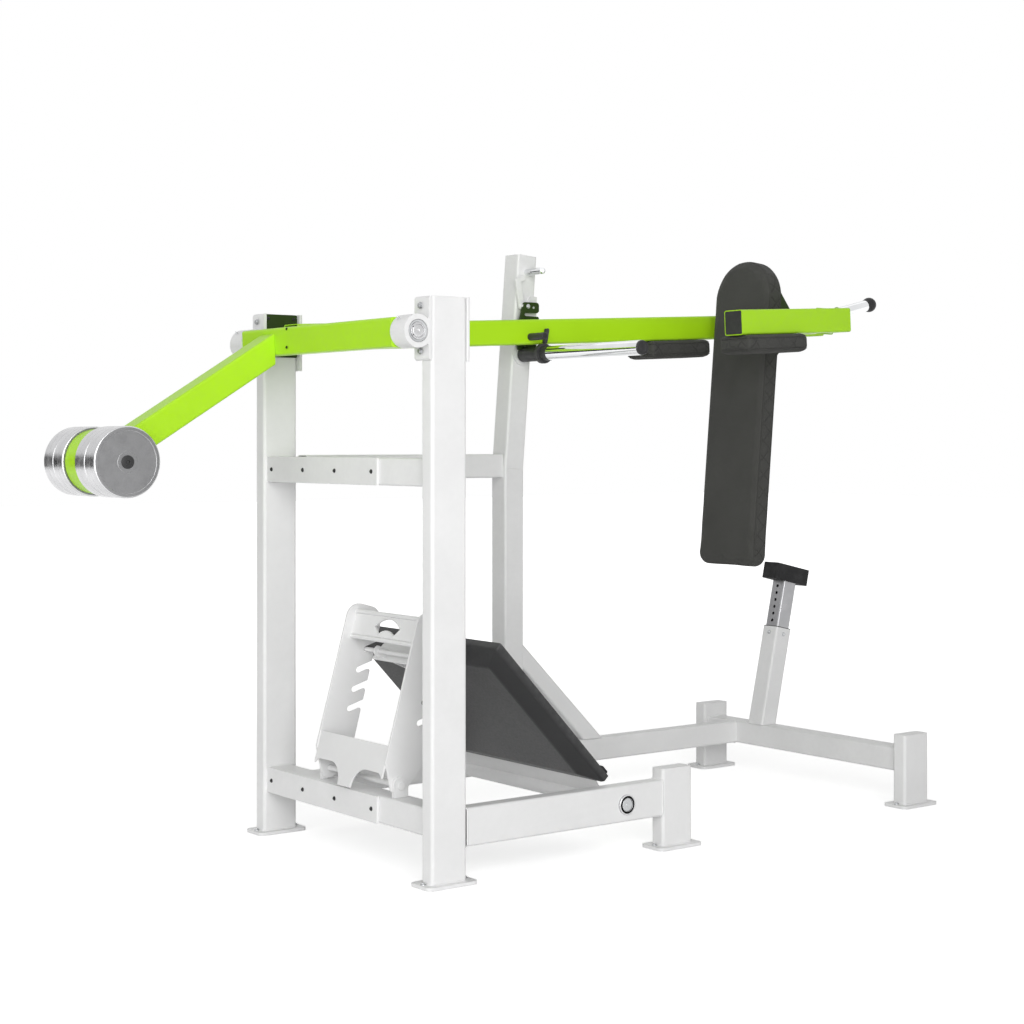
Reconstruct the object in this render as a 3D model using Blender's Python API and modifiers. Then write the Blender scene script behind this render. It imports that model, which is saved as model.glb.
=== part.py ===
"""Pendulum squat machine: a balanced swing arm on a two-post frame.

Units are metres. +X runs from the counterweights to the back pad, +Y from the
open side to the main arm, +Z up. Each welded tube, plate and pad is its own object.
"""
import math

import bmesh
import bpy
from mathutils import Matrix, Vector

GAP = 0.0003
WALL = 0.003
TUBE_CORNER = 0.008
ARC_STEPS = 4
ROUND_STEPS = 24

# Frame
UPRIGHT_X = -0.018
UPRIGHT_NEAR_Y = 0.018
UPRIGHT_FAR_Y = 0.950
UPRIGHT_DEPTH = 0.120
UPRIGHT_WIDTH = 0.054
UPRIGHT_TOP = 1.647
FOOT_LENGTH = 0.172
FOOT_WIDTH = 0.100
FOOT_THICK = 0.010
FOOT_CORNER = 0.018
BEAM = 0.080
CROSSBAR_LOW_Z = 0.173
CROSSBAR_MID_Z = 1.155
FRONT_PLATE_LENGTH = 0.634
FRONT_PLATE_THICK = 0.009
NEAR_RAIL_HEIGHT = 0.110
NEAR_RAIL_Z = 0.157
FAR_RAIL_HEIGHT = 0.080
FAR_RAIL_Z = 0.155
MID_BEAM_Z = 1.160
POST_X = 0.836
POST_Y = 0.857
POST_KNEE_Z = 1.150
POST_TOP_Z = 1.880
POST_LEAN = math.radians(4.5)
BRACE_TUBE = 0.060
BRACE_ANGLE = math.radians(45.0)
BRACE_POST_Z = 0.514
STUB_TOP = 0.245
REAR_X = 1.930
REAR_BEAM_Z = 0.155
REAR_FAR_Y = 1.009

# Bump stop
BUMPER_Y = 0.735
BUMPER_LEAN = math.radians(12.7)
SLEEVE_TUBE = 0.075
SLEEVE_WALL = 0.005
SLEEVE_LENGTH = 0.360
STEM_TUBE = SLEEVE_TUBE - 2 * (SLEEVE_WALL + GAP)
STEM_SHOWING = 0.174
STEM_INSIDE = 0.220
STEM_HOLE_R = 0.006
STEM_HOLE_PITCH = 0.026
STEM_HOLES = 6
BLOCK_LENGTH = 0.170
BLOCK_WIDTH = 0.080
BLOCK_THICK = 0.060

# Main pivot
PIVOT_X = -0.1235
PIVOT_Z = 1.548
HOUSING_R = 0.047
HOUSING_DEPTH = 0.071
FLANGE_THICK = 0.010
FLANGE_HEIGHT = 0.179
FLANGE_CORNER = 0.0084
WEB_HALF = 0.034
WEB_FLARE = 0.006
BEARING_R = 0.032
SHAFT_R = 0.018
SHAFT_END_GAP = 0.001
AXLE_SIDE_GAP = 0.002
AXLE_END_PLUG = 0.015

# Pendulum
ARM_TILT = math.radians(3.1)
ARM_Y = 0.747
ARM_TUBE = 0.084
ARM_REACH = 2.3535
BEAM_RISE = 0.012
NEAR_BEAM_Y = 0.266
NEAR_BEAM_FRONT = 1.4605
CARRIAGE_REAR = 1.9825
WEIGHT_ARM_RADIUS = 0.694
WEIGHT_ARM_DROP = math.radians(31.6)
WEIGHT_ARM_PAST = 0.034
DISC_R = 0.102
DISC_THICK = 0.065
DISC_CHAMFER = 0.004
BOLT_R = 0.016
BOLT_HEAD_R = 0.019
BOLT_HEAD_THICK = 0.004
PEG_R = 0.011
PEG_LENGTH = 0.080
PEG_X = 0.9415
PEG_RISE = -0.005

# Plate horn and catch
HORN_R = 0.024
HORN_RADIUS = 0.9855
HORN_DROP = 0.062
HORN_NEAR_Y = 0.181
HORN_FAR_Y = 0.805
HORN_CAP_R = 0.028
HORN_CAP_LENGTH = 0.024
COLLAR_R = 0.034
COLLAR_THICK = 0.014
COLLAR_SIDE_GAP = 0.004
LEVER_LENGTH = 0.052
LEVER_WIDTH = 0.012
LEVER_LEAN = math.radians(14.0)
CATCH_THICK = 0.008
CATCH_PIN_R = 0.005
CATCH_HEAD_R = 0.013
CATCH_SEAT_DROP = 0.004
CATCH_FOOT_DROP = 0.016
CATCH_PIVOT_ALONG = 0.9835
CATCH_PIVOT_UP = 0.104
CATCH_LENGTH = 0.100
HOOK_NOSE_R = 0.008
HOOK_NOSE_DROP = 0.033
CATCH_REST = math.radians(97.0)
STOP_PEG_R = 0.012
STOP_PEG_LENGTH = 0.096
STOP_PEG_Z = 1.822
CRADLE_R = 0.036
CRADLE_THICK = 0.008

# Pads
SHOULDER_LENGTH = 0.290
SHOULDER_WIDTH = 0.150
SHOULDER_THICK = 0.062
SHOULDER_FRONT = 1.4535
BACK_PAD_LEAN = math.radians(5.06)
BACK_PAD_LENGTH = 1.070
BACK_PAD_WIDTH = 0.280
BACK_PAD_THICK = 0.070
BACK_PAD_FOOT_X = 1.519
BACK_PAD_FOOT_Z = 0.813
BACK_PAD_CORNER = 0.045
PAD_ROUND = 0.012
BRACKET_WIDTH = 0.160
BRACKET_HEIGHT = 0.300
BRACKET_THICK = 0.010

# Handles
HANDLE_R = 0.018
HANDLE_BALL_R = 0.026
HANDLE_RISE = math.radians(13.0)
HANDLE_LENGTH = 0.146
HANDLE_START_UP = 0.032

# Footplate
HINGE_X = 0.629
HINGE_Z = 0.155
AXLE_R = 0.016
AXLE_HEAD_R = 0.030
AXLE_HEAD_THICK = 0.007
HINGE_TUBE_R = 0.026
HINGE_TUBE_MARGIN = 0.034
TRAY_FOOT_X = 0.600
TRAY_FOOT_Z = 0.230
TRAY_SLOPE = math.radians(46.4)
TRAY_LENGTH = 0.590
TRAY_NEAR_Y = 0.038
TRAY_WIDTH = 0.797
TRAY_DEPTH = 0.030
TRAY_BEVEL = 0.058
TRAY_LIP = 0.016
TRAY_SHEET = 0.004
TRAY_SEAT = 0.022
HEEL_BAR_DEPTH = 0.050
HEEL_BAR_THICK = 0.018
HEEL_BAR_MARGIN = 0.004
ARM_PLATE = 0.010
ARM_PLATE_INSET = 0.075
ARM_EYE_R = 0.036
ROD_R = 0.007
ROD_X = 0.112
ROD_Z = 0.600
ROD_TIP_R = 0.020
ROD_OVERHANG = 0.008

# Notched ladder
LADDER_PIVOT_X = -0.020
LADDER_LEAN = math.radians(15.5)
LADDER_Y = 0.436
LADDER_WIDTH = 0.380
LADDER_PLATE = 0.008
LADDER_HALF = 0.0635
LADDER_LENGTH = 0.508
LADDER_FOOT_R = 0.030
LADDER_TOP_R = 0.045
SLOT_WIDTH = 0.018
SLOT_LENGTH = 0.085
SLOT_PITCH = 0.061
SLOT_COUNT = 4
SLOT_RISE = math.radians(17.0)
CROSS_ROD_R = 0.007
CROSS_PLATE_HEIGHT = 0.062
BRIDGE_LOW = 0.012
BRIDGE_HIGH = 0.170
ARCH_R = 0.058
LADDER_BUSH_R = 0.009
LUG_WIDTH = 0.050
LUG_THICK = 0.010
LUG_RISE = 0.034

WHITE = ((0.82, 0.82, 0.82), 0.35, 0.0)
LIME = ((0.44, 0.80, 0.015), 0.32, 0.0)
DARK_GREEN = ((0.02, 0.045, 0.0), 0.45, 0.0)
STEEL = ((0.62, 0.62, 0.63), 0.28, 1.0)
CHROME = ((0.78, 0.79, 0.80), 0.10, 1.0)
BLACK_RUBBER = ((0.02, 0.02, 0.021), 0.75, 0.0)
BLACK_PAINT = ((0.022, 0.022, 0.023), 0.42, 0.0)
CHARCOAL = ((0.058, 0.058, 0.054), 0.85, 0.0)

ALONG_Y = (-math.pi / 2, 0.0, 0.0)
FACING_Y = (math.pi / 2, 0.0, 0.0)

parts = None
cutters = None


def clear_scene():
    """Remove what the file starts with."""
    for item in list(bpy.data.objects):
        bpy.data.objects.remove(item, do_unlink=True)


def new_collection(name):
    collection = bpy.data.collections.new(name)
    bpy.context.scene.collection.children.link(collection)
    return collection


def new_empty(name, location=(0.0, 0.0, 0.0), rotation=(0.0, 0.0, 0.0), parent=None):
    empty = bpy.data.objects.new(name, None)
    empty.location = location
    empty.rotation_euler = rotation
    empty.parent = parent
    parts.objects.link(empty)
    return empty


def paint(obj, finish):
    """Give the object a Principled material of its own."""
    colour, roughness, metallic = finish
    material = bpy.data.materials.new(obj.name + "_material")
    material.use_nodes = True
    shader = material.node_tree.nodes["Principled BSDF"]
    shader.inputs["Base Color"].default_value = (*colour, 1.0)
    shader.inputs["Roughness"].default_value = roughness
    shader.inputs["Metallic"].default_value = metallic
    obj.data.materials.clear()
    obj.data.materials.append(material)


def shade(obj, angle=40.0):
    obj.data.shade_smooth()
    obj.data.set_sharp_from_angle(angle=math.radians(angle))


def add_part(name, mesh, finish, location=(0.0, 0.0, 0.0), rotation=(0.0, 0.0, 0.0), parent=None):
    obj = bpy.data.objects.new(name, mesh)
    parts.objects.link(obj)
    obj.location = location
    obj.rotation_euler = rotation
    obj.parent = parent
    paint(obj, finish)
    shade(obj)
    return obj


def add_cutter(name, mesh, location=(0.0, 0.0, 0.0), rotation=(0.0, 0.0, 0.0), parent=None):
    obj = bpy.data.objects.new(name, mesh)
    cutters.objects.link(obj)
    obj.location = location
    obj.rotation_euler = rotation
    obj.parent = parent
    obj.hide_render = True
    obj.display_type = 'WIRE'
    return obj


def combine(target, other, operation):
    """Join or cut the target with another closed shape."""
    step = target.modifiers.new(other.name, 'BOOLEAN')
    step.operation = operation
    step.solver = 'EXACT'
    step.object = other


def round_edges(obj, width, segments=2):
    step = obj.modifiers.new("edges", 'BEVEL')
    step.width = width
    step.segments = segments
    step.limit_method = 'ANGLE'
    step.angle_limit = math.radians(50.0)


def arc(centre, radius, start, end, steps):
    """Points along an arc, angles in degrees."""
    points = []
    for index in range(steps + 1):
        angle = math.radians(start + (end - start) * index / steps)
        points.append((centre[0] + radius * math.cos(angle), centre[1] + radius * math.sin(angle)))
    return points


def rounded_rectangle(width, height, radius, steps=ARC_STEPS):
    x = width / 2 - radius
    y = height / 2 - radius
    points = []
    for centre, start in (((x, y), 0), ((-x, y), 90), ((-x, -y), 180), ((x, -y), 270)):
        points += arc(centre, radius, start, start + 90, steps)
    return points


def outline_mesh(name, loops, thickness):
    """Flat outline, holes included, given a thickness across its plane."""
    curve = bpy.data.curves.new(name, 'CURVE')
    curve.dimensions = '2D'
    curve.fill_mode = 'BOTH'
    curve.extrude = thickness / 2
    for loop in loops:
        spline = curve.splines.new('POLY')
        spline.points.add(len(loop) - 1)
        for point, place in zip(spline.points, loop):
            point.co = (place[0], place[1], 0.0, 1.0)
        spline.use_cyclic_u = True
    guide = bpy.data.objects.new(name + "_outline", curve)
    parts.objects.link(guide)
    graph = bpy.context.evaluated_depsgraph_get()
    mesh = bpy.data.meshes.new_from_object(guide.evaluated_get(graph))
    bpy.data.objects.remove(guide, do_unlink=True)
    bpy.data.curves.remove(curve)
    work = bmesh.new()
    work.from_mesh(mesh)
    bmesh.ops.remove_doubles(work, verts=work.verts, dist=0.00001)
    bmesh.ops.recalc_face_normals(work, faces=work.faces)
    work.to_mesh(mesh)
    work.free()
    mesh.name = name
    return mesh


def tube_mesh(name, width, height, length, wall=WALL, corner=TUBE_CORNER):
    """Rectangular hollow section, its length centred on local Z."""
    outer = rounded_rectangle(width, height, corner)
    inner = rounded_rectangle(width - 2 * wall, height - 2 * wall, max(corner - wall, 0.001))
    return outline_mesh(name, [outer, inner], length)


def plate_mesh(name, width, height, thickness, corner):
    return outline_mesh(name, [rounded_rectangle(width, height, corner)], thickness)


def cylinder_mesh(name, radius, length, steps=ROUND_STEPS):
    mesh = bpy.data.meshes.new(name)
    work = bmesh.new()
    bmesh.ops.create_cone(work, cap_ends=True, segments=steps, radius1=radius, radius2=radius, depth=length)
    work.to_mesh(mesh)
    work.free()
    return mesh


def box_mesh(name, size):
    mesh = bpy.data.meshes.new(name)
    work = bmesh.new()
    bmesh.ops.create_cube(work, size=1.0)
    bmesh.ops.scale(work, vec=size, verts=work.verts)
    work.to_mesh(mesh)
    work.free()
    return mesh


def ring_mesh(name, outer, inner, length, steps=ROUND_STEPS):
    step = 360.0 / steps
    outside = arc((0.0, 0.0), outer, 0.0, 360.0 - step, steps - 1)
    inside = arc((0.0, 0.0), inner, 0.0, 360.0 - step, steps - 1)
    return outline_mesh(name, [outside, inside], length)


def turned(name, profile, finish, closed=False, steps=ROUND_STEPS, **place):
    """Solid of revolution about local Z from a profile at +X that runs down its outer side."""
    mesh = bpy.data.meshes.new(name)
    edges = [(index, index + 1) for index in range(len(profile) - 1)]
    if closed:
        edges.append((len(profile) - 1, 0))
    mesh.from_pydata([(x, 0.0, z) for x, z in profile], edges, [])
    obj = add_part(name, mesh, finish, **place)
    step = obj.modifiers.new("turn", 'SCREW')
    step.axis = 'Z'
    step.steps = steps
    step.render_steps = steps
    step.use_merge_vertices = True
    step.merge_threshold = 0.00001
    step.use_smooth_shade = True
    return obj


def mitre(mesh, end, normal, offset=0.0):
    """Slide one end's corners along local Z onto a plane through the end's centre."""
    heights = [vertex.co.z for vertex in mesh.vertices]
    level = max(heights) if end > 0 else min(heights)
    for vertex in mesh.vertices:
        if abs(vertex.co.z - level) < 0.0001:
            slide = -(vertex.co.x * normal[0] + vertex.co.y * normal[1]) / normal[2]
            vertex.co.z = level + offset + slide


def tilt(elevation):
    """Rotation that lays local Z along +X raised by an elevation, local X across it."""
    return (0.0, math.pi / 2 - elevation, 0.0)


def run(start, elevation, distance):
    """Point at a distance from a start along an elevation in the X-Z plane."""
    return Vector((start[0] + distance * math.cos(elevation), start[1],
                   start[2] + distance * math.sin(elevation)))


# Fixed frame

def build_post(name, centre, top, parent):
    """Upright or stub: a capped hollow post on its own foot plate."""
    base = FOOT_THICK + GAP
    height = top - base
    corner = 0.010
    outer = plate_mesh(name, UPRIGHT_DEPTH, UPRIGHT_WIDTH, height, corner)
    place = (centre[0], centre[1], base + height / 2)
    post = add_part(name, outer, WHITE, location=place, parent=parent)
    round_edges(post, 0.002, 1)
    hollow = plate_mesh(name + "_hollow", UPRIGHT_DEPTH - 2 * WALL, UPRIGHT_WIDTH - 2 * WALL, height, corner - WALL)
    inside = (place[0], place[1], place[2] - 2 * WALL)
    combine(post, add_cutter(name + "_hollow", hollow, inside, parent=parent), 'DIFFERENCE')
    foot_name = name.replace("_post", "").replace("upright", "foot_plate")
    foot_name = foot_name if foot_name.startswith("foot_plate") else "foot_plate_" + foot_name
    foot = plate_mesh(foot_name, FOOT_LENGTH, FOOT_WIDTH, FOOT_THICK, FOOT_CORNER)
    add_part(foot_name, foot, WHITE, location=(centre[0], centre[1], FOOT_THICK / 2), parent=parent)
    return post


def build_crossbars(parent):
    near_end = UPRIGHT_NEAR_Y + UPRIGHT_WIDTH / 2 + GAP
    far_end = UPRIGHT_FAR_Y - UPRIGHT_WIDTH / 2 - GAP
    for name, z in (("crossbar_low", CROSSBAR_LOW_Z), ("crossbar_mid", CROSSBAR_MID_Z)):
        mesh = tube_mesh(name, BEAM, BEAM, far_end - near_end)
        add_part(name, mesh, WHITE, (UPRIGHT_X, (near_end + far_end) / 2, z), ALONG_Y, parent)
        plate_name = name.replace("crossbar", "crossbar_plate")
        plate = plate_mesh(plate_name, FRONT_PLATE_THICK, BEAM, FRONT_PLATE_LENGTH, 0.0015)
        place = (UPRIGHT_X - BEAM / 2 - GAP - FRONT_PLATE_THICK / 2, far_end - FRONT_PLATE_LENGTH / 2, z)
        add_part(plate_name, plate, WHITE, place, ALONG_Y, parent)


def build_rails(parent):
    """Near rail with the footplate axle's bore, and the long far rail."""
    near_span = (UPRIGHT_X + UPRIGHT_DEPTH / 2 + GAP, POST_X - UPRIGHT_DEPTH / 2 - GAP)
    far_span = (UPRIGHT_X + BEAM / 2 + GAP, REAR_X - BEAM / 2 - GAP)
    near = ("near_rail", UPRIGHT_NEAR_Y, NEAR_RAIL_Z, NEAR_RAIL_HEIGHT, near_span)
    far = ("far_rail", POST_Y, FAR_RAIL_Z, FAR_RAIL_HEIGHT, far_span)
    for name, y, z, height, (start, end) in (near, far):
        mesh = tube_mesh(name, height, UPRIGHT_WIDTH, end - start)
        place = ((start + end) / 2, y, z)
        rail = add_part(name, mesh, WHITE, place, tilt(0.0), parent)
        bore = cylinder_mesh(name + "_bore", AXLE_R + GAP, UPRIGHT_WIDTH + 0.02)
        combine(rail, add_cutter(name + "_bore", bore, (HINGE_X, y, HINGE_Z), ALONG_Y, parent), 'DIFFERENCE')


def build_third_post(parent):
    """Post beside the arm: plumb to the knee, leaning back above it."""
    base = FAR_RAIL_Z + FAR_RAIL_HEIGHT / 2 + GAP
    half_lean = POST_LEAN / 2
    lower = tube_mesh("post_lower", BEAM, BEAM, POST_KNEE_Z - base)
    mitre(lower, 1, (math.sin(half_lean), 0.0, math.cos(half_lean)), -GAP / 2)
    add_part("post_lower", lower, WHITE, (POST_X, POST_Y, (POST_KNEE_Z + base) / 2), parent=parent)
    length = (POST_TOP_Z - POST_KNEE_Z) / math.cos(POST_LEAN)
    outer = plate_mesh("post_upper", BEAM, BEAM, length, TUBE_CORNER)
    mitre(outer, -1, (-math.sin(half_lean), 0.0, math.cos(half_lean)), GAP / 2)
    elevation = math.pi / 2 - POST_LEAN
    knee = (POST_X, POST_Y, POST_KNEE_Z)
    upper = add_part("post_upper", outer, WHITE, run(knee, elevation, length / 2), tilt(elevation), parent)
    inner = BEAM - 2 * WALL
    hollow = plate_mesh("post_hollow", inner, inner, length, TUBE_CORNER - WALL)
    hollow_place = run(knee, elevation, length / 2 - 2 * WALL)
    combine(upper, add_cutter("post_hollow", hollow, hollow_place, tilt(elevation), parent), 'DIFFERENCE')


def build_mid_beam(parent):
    start = UPRIGHT_X + BEAM / 2 + GAP
    end = POST_X - BEAM / 2 - GAP
    mesh = tube_mesh("far_mid_beam", BEAM, UPRIGHT_WIDTH, end - start)
    add_part("far_mid_beam", mesh, WHITE, ((start + end) / 2, POST_Y, MID_BEAM_Z), tilt(0.0), parent)


def build_brace(parent):
    """Slanted strut from the third post down to the far rail."""
    start = Vector((POST_X + BEAM / 2 + GAP, POST_Y, BRACE_POST_Z))
    rail_top = FAR_RAIL_Z + FAR_RAIL_HEIGHT / 2 + GAP
    length = (BRACE_POST_Z - rail_top) / math.sin(BRACE_ANGLE)
    mesh = tube_mesh("brace", BRACE_TUBE, UPRIGHT_WIDTH, length)
    angle = BRACE_ANGLE
    mitre(mesh, -1, (-math.sin(angle), 0.0, math.cos(angle)))
    mitre(mesh, 1, (math.cos(angle), 0.0, math.sin(angle)))
    add_part("brace", mesh, WHITE, run(start, -angle, length / 2), tilt(-angle), parent)


def build_rear(parent):
    near = UPRIGHT_NEAR_Y + UPRIGHT_WIDTH / 2 + GAP
    far = REAR_FAR_Y - UPRIGHT_WIDTH / 2 - GAP
    mesh = tube_mesh("rear_crossbeam", BEAM, BEAM, far - near)
    add_part("rear_crossbeam", mesh, WHITE, (REAR_X, (near + far) / 2, REAR_BEAM_Z), ALONG_Y, parent)


def bumper_base():
    return Vector((REAR_X, BUMPER_Y, REAR_BEAM_Z + BEAM / 2 + GAP))


def build_bumper_sleeve(parent):
    """Leaning outer tube of the bump stop, cut level where it meets the crossbeam."""
    lean = BUMPER_LEAN
    mesh = tube_mesh("bumper_sleeve", SLEEVE_TUBE, SLEEVE_TUBE, SLEEVE_LENGTH, SLEEVE_WALL)
    mitre(mesh, -1, (-math.sin(lean), 0.0, math.cos(lean)))
    elevation = math.pi / 2 - lean
    add_part("bumper_sleeve", mesh, WHITE, run(bumper_base(), elevation, SLEEVE_LENGTH / 2),
             tilt(elevation), parent)


def build_bumper_stem(parent):
    """Sliding inner tube with its row of holes, and the rubber block on top."""
    elevation = math.pi / 2 - BUMPER_LEAN
    top = SLEEVE_LENGTH + STEM_SHOWING
    length = STEM_SHOWING + STEM_INSIDE
    slide = new_empty("bumper_axis", run(bumper_base(), elevation, SLEEVE_LENGTH), tilt(elevation), parent)
    stem = add_part("bumper_stem", tube_mesh("bumper_stem", STEM_TUBE, STEM_TUBE, length), STEEL,
                    (0.0, 0.0, top - SLEEVE_LENGTH - length / 2), parent=slide)
    for index in range(STEM_HOLES):
        name = "stem_hole_{}".format(index + 1)
        hole = cylinder_mesh(name, STEM_HOLE_R, STEM_TUBE / 2, 12)
        height = STEM_SHOWING - STEM_HOLE_PITCH * (index + 0.8)
        place = (-STEM_TUBE / 2, 0.0, height)
        combine(stem, add_cutter(name, hole, place, (0.0, math.pi / 2, 0.0), slide), 'DIFFERENCE')
    block = plate_mesh("bumper_block", BLOCK_LENGTH, BLOCK_WIDTH, BLOCK_THICK, 0.010)
    pad = add_part("bumper_block", block, BLACK_RUBBER, (0.0, 0.0, STEM_SHOWING + GAP + BLOCK_THICK / 2),
                   parent=slide)
    round_edges(pad, 0.005)


def build_stop_peg(parent):
    """Round-ended peg on the third post that ends the upward swing."""
    lean_x = POST_X + (STOP_PEG_Z - POST_KNEE_Z) * math.tan(POST_LEAN)
    round_end = arc((0.0, STOP_PEG_LENGTH - STOP_PEG_R), STOP_PEG_R, 90.0, 0.0, 5)
    profile = round_end + [(STOP_PEG_R, 0.0), (0.0, 0.0)]
    turned("stop_peg", profile, CHROME, location=(lean_x, POST_Y - BEAM / 2 - GAP, STOP_PEG_Z),
           rotation=(math.pi / 2, 0.0, 0.0), parent=parent)


# Main pivot bearings

def housing_outline():
    """Side view of the bearing unit: bolt flange, web and round housing."""
    seat = UPRIGHT_X - UPRIGHT_DEPTH / 2 - GAP - PIVOT_X
    face = seat - FLANGE_THICK
    low = UPRIGHT_TOP - PIVOT_Z - FLANGE_HEIGHT
    high = UPRIGHT_TOP - PIVOT_Z
    corner = FLANGE_CORNER
    foot = WEB_HALF + WEB_FLARE
    meet = math.degrees(math.asin(WEB_HALF / HOUSING_R))
    points = [(seat, low), (seat, high)]
    points += arc((face + corner, high - corner), corner, 90.0, 180.0, 3)
    points.append((face, foot))
    points += arc((0.0, 0.0), HOUSING_R, meet, 360.0 - meet, 26)
    points.append((face, -foot))
    points += arc((face + corner, low + corner), corner, 180.0, 270.0, 3)
    return points


def build_bearings(parent):
    """A bearing unit on each upright, its ball bearing and the clamp plate behind the post."""
    step = 360.0 / 32
    bore = arc((0.0, 0.0), BEARING_R + GAP, 0.0, 360.0 - step, 31)
    near = UPRIGHT_NEAR_Y - UPRIGHT_WIDTH / 2
    far = UPRIGHT_FAR_Y + UPRIGHT_WIDTH / 2
    for side, outer_y, inward in (("near", near, 1), ("far", far, -1)):
        y = outer_y + inward * HOUSING_DEPTH / 2
        centre = (PIVOT_X, y, PIVOT_Z)
        name = "bearing_housing_" + side
        mesh = outline_mesh(name, [housing_outline(), bore], HOUSING_DEPTH)
        add_part(name, mesh, WHITE, centre, FACING_Y, parent)
        name = "bearing_" + side
        depth = HOUSING_DEPTH - 0.006
        add_part(name, ring_mesh(name, BEARING_R, SHAFT_R + GAP, depth, 32), STEEL, centre, FACING_Y, parent)
        name = "clamp_plate_" + side
        mesh = plate_mesh(name, FLANGE_THICK, HOUSING_DEPTH, FLANGE_HEIGHT, 0.003)
        place = (UPRIGHT_X + UPRIGHT_DEPTH / 2 + GAP + FLANGE_THICK / 2, y, UPRIGHT_TOP - FLANGE_HEIGHT / 2)
        add_part(name, mesh, WHITE, place, parent=parent)


# Pendulum, drawn along the arm: local X runs from the pivot to the back pad

def build_axle(arm):
    span = UPRIGHT_FAR_Y - UPRIGHT_NEAR_Y + UPRIGHT_WIDTH
    centre = (UPRIGHT_NEAR_Y + UPRIGHT_FAR_Y) / 2
    shaft = cylinder_mesh("pivot_shaft", SHAFT_R, span - 2 * SHAFT_END_GAP, 32)
    add_part("pivot_shaft", shaft, CHROME, (0.0, centre, 0.0), ALONG_Y, arm)
    length = span - 2 * HOUSING_DEPTH - 2 * AXLE_SIDE_GAP
    bar = plate_mesh("axle_beam", ARM_TUBE, ARM_TUBE, length, TUBE_CORNER)
    beam = add_part("axle_beam", bar, LIME, (0.0, centre, 0.0), ALONG_Y, arm)
    inner = ARM_TUBE - 2 * WALL
    hollow = plate_mesh("axle_hollow", inner, inner, length - 2 * AXLE_END_PLUG, TUBE_CORNER - WALL)
    combine(beam, add_cutter("axle_hollow", hollow, (0.0, centre, 0.0), ALONG_Y, arm), 'DIFFERENCE')
    bore = cylinder_mesh("axle_bore", SHAFT_R + GAP, length + 0.01, 32)
    combine(beam, add_cutter("axle_bore", bore, (0.0, centre, 0.0), ALONG_Y, arm), 'DIFFERENCE')


def build_main_arm(arm):
    """Long arm to the back pad with the resistance band peg on its open side."""
    start = ARM_TUBE / 2 + GAP
    length = ARM_REACH - start
    tube = tube_mesh("main_arm", ARM_TUBE, ARM_TUBE, length)
    body = add_part("main_arm", tube, LIME, (start + length / 2, ARM_Y, BEAM_RISE), tilt(0.0), arm)
    peg = cylinder_mesh("band_peg", PEG_R, PEG_LENGTH + WALL / 2, 16)
    place = (PEG_X, ARM_Y - ARM_TUBE / 2 - PEG_LENGTH / 2 + WALL / 4, PEG_RISE)
    combine(body, add_cutter("band_peg", peg, place, ALONG_Y, arm), 'UNION')


def weight_centre():
    elevation = math.pi + WEIGHT_ARM_DROP - ARM_TILT
    return run((0.0, ARM_Y, 0.0), elevation, WEIGHT_ARM_RADIUS)


def build_weight_arm(arm):
    drop = WEIGHT_ARM_DROP - ARM_TILT
    elevation = math.pi + drop
    start = (ARM_TUBE / 2 + GAP) / math.cos(drop)
    length = WEIGHT_ARM_RADIUS + WEIGHT_ARM_PAST - start
    mesh = tube_mesh("weight_arm", ARM_TUBE, ARM_TUBE, length)
    mitre(mesh, -1, (math.sin(drop), 0.0, math.cos(drop)))
    centre = run((0.0, ARM_Y, 0.0), elevation, start + length / 2)
    body = add_part("weight_arm", mesh, LIME, centre, tilt(elevation), arm)
    bore = cylinder_mesh("weight_bore", BOLT_R + GAP, ARM_TUBE + 0.02)
    combine(body, add_cutter("weight_bore", bore, weight_centre(), ALONG_Y, arm), 'DIFFERENCE')


def build_weights(arm):
    """Four steel discs, two on each side of the weight arm, on one through bolt."""
    half = DISC_THICK / 2
    inner = BOLT_R + GAP
    cut = DISC_CHAMFER
    profile = [(inner, half), (DISC_R - cut, half), (DISC_R, half - cut), (DISC_R, cut - half),
               (DISC_R - cut, -half), (inner, -half)]
    centre = weight_centre()
    steps = 48
    for index, offset in enumerate((-2, -1, 1, 2)):
        side = 1 if offset > 0 else -1
        y = ARM_Y + side * (ARM_TUBE / 2 + (abs(offset) - 0.5) * DISC_THICK + abs(offset) * GAP)
        turned("weight_disc_{}".format(index + 1), profile, STEEL, closed=True, steps=steps,
               location=(centre.x, y, centre.z), rotation=FACING_Y, parent=arm)
    reach = ARM_TUBE / 2 + 2 * DISC_THICK + 3 * GAP
    head = reach + BOLT_HEAD_THICK
    socket = 0.008
    bolt = [(0.0, head - 0.003), (socket, head - 0.003), (socket, head), (BOLT_HEAD_R, head), (BOLT_HEAD_R, reach),
            (BOLT_R, reach), (BOLT_R, -reach), (BOLT_HEAD_R, -reach), (BOLT_HEAD_R, -head), (0.0, -head)]
    turned("weight_bolt", bolt, BLACK_PAINT, location=(centre.x, ARM_Y, centre.z), rotation=FACING_Y, parent=arm)


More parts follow.
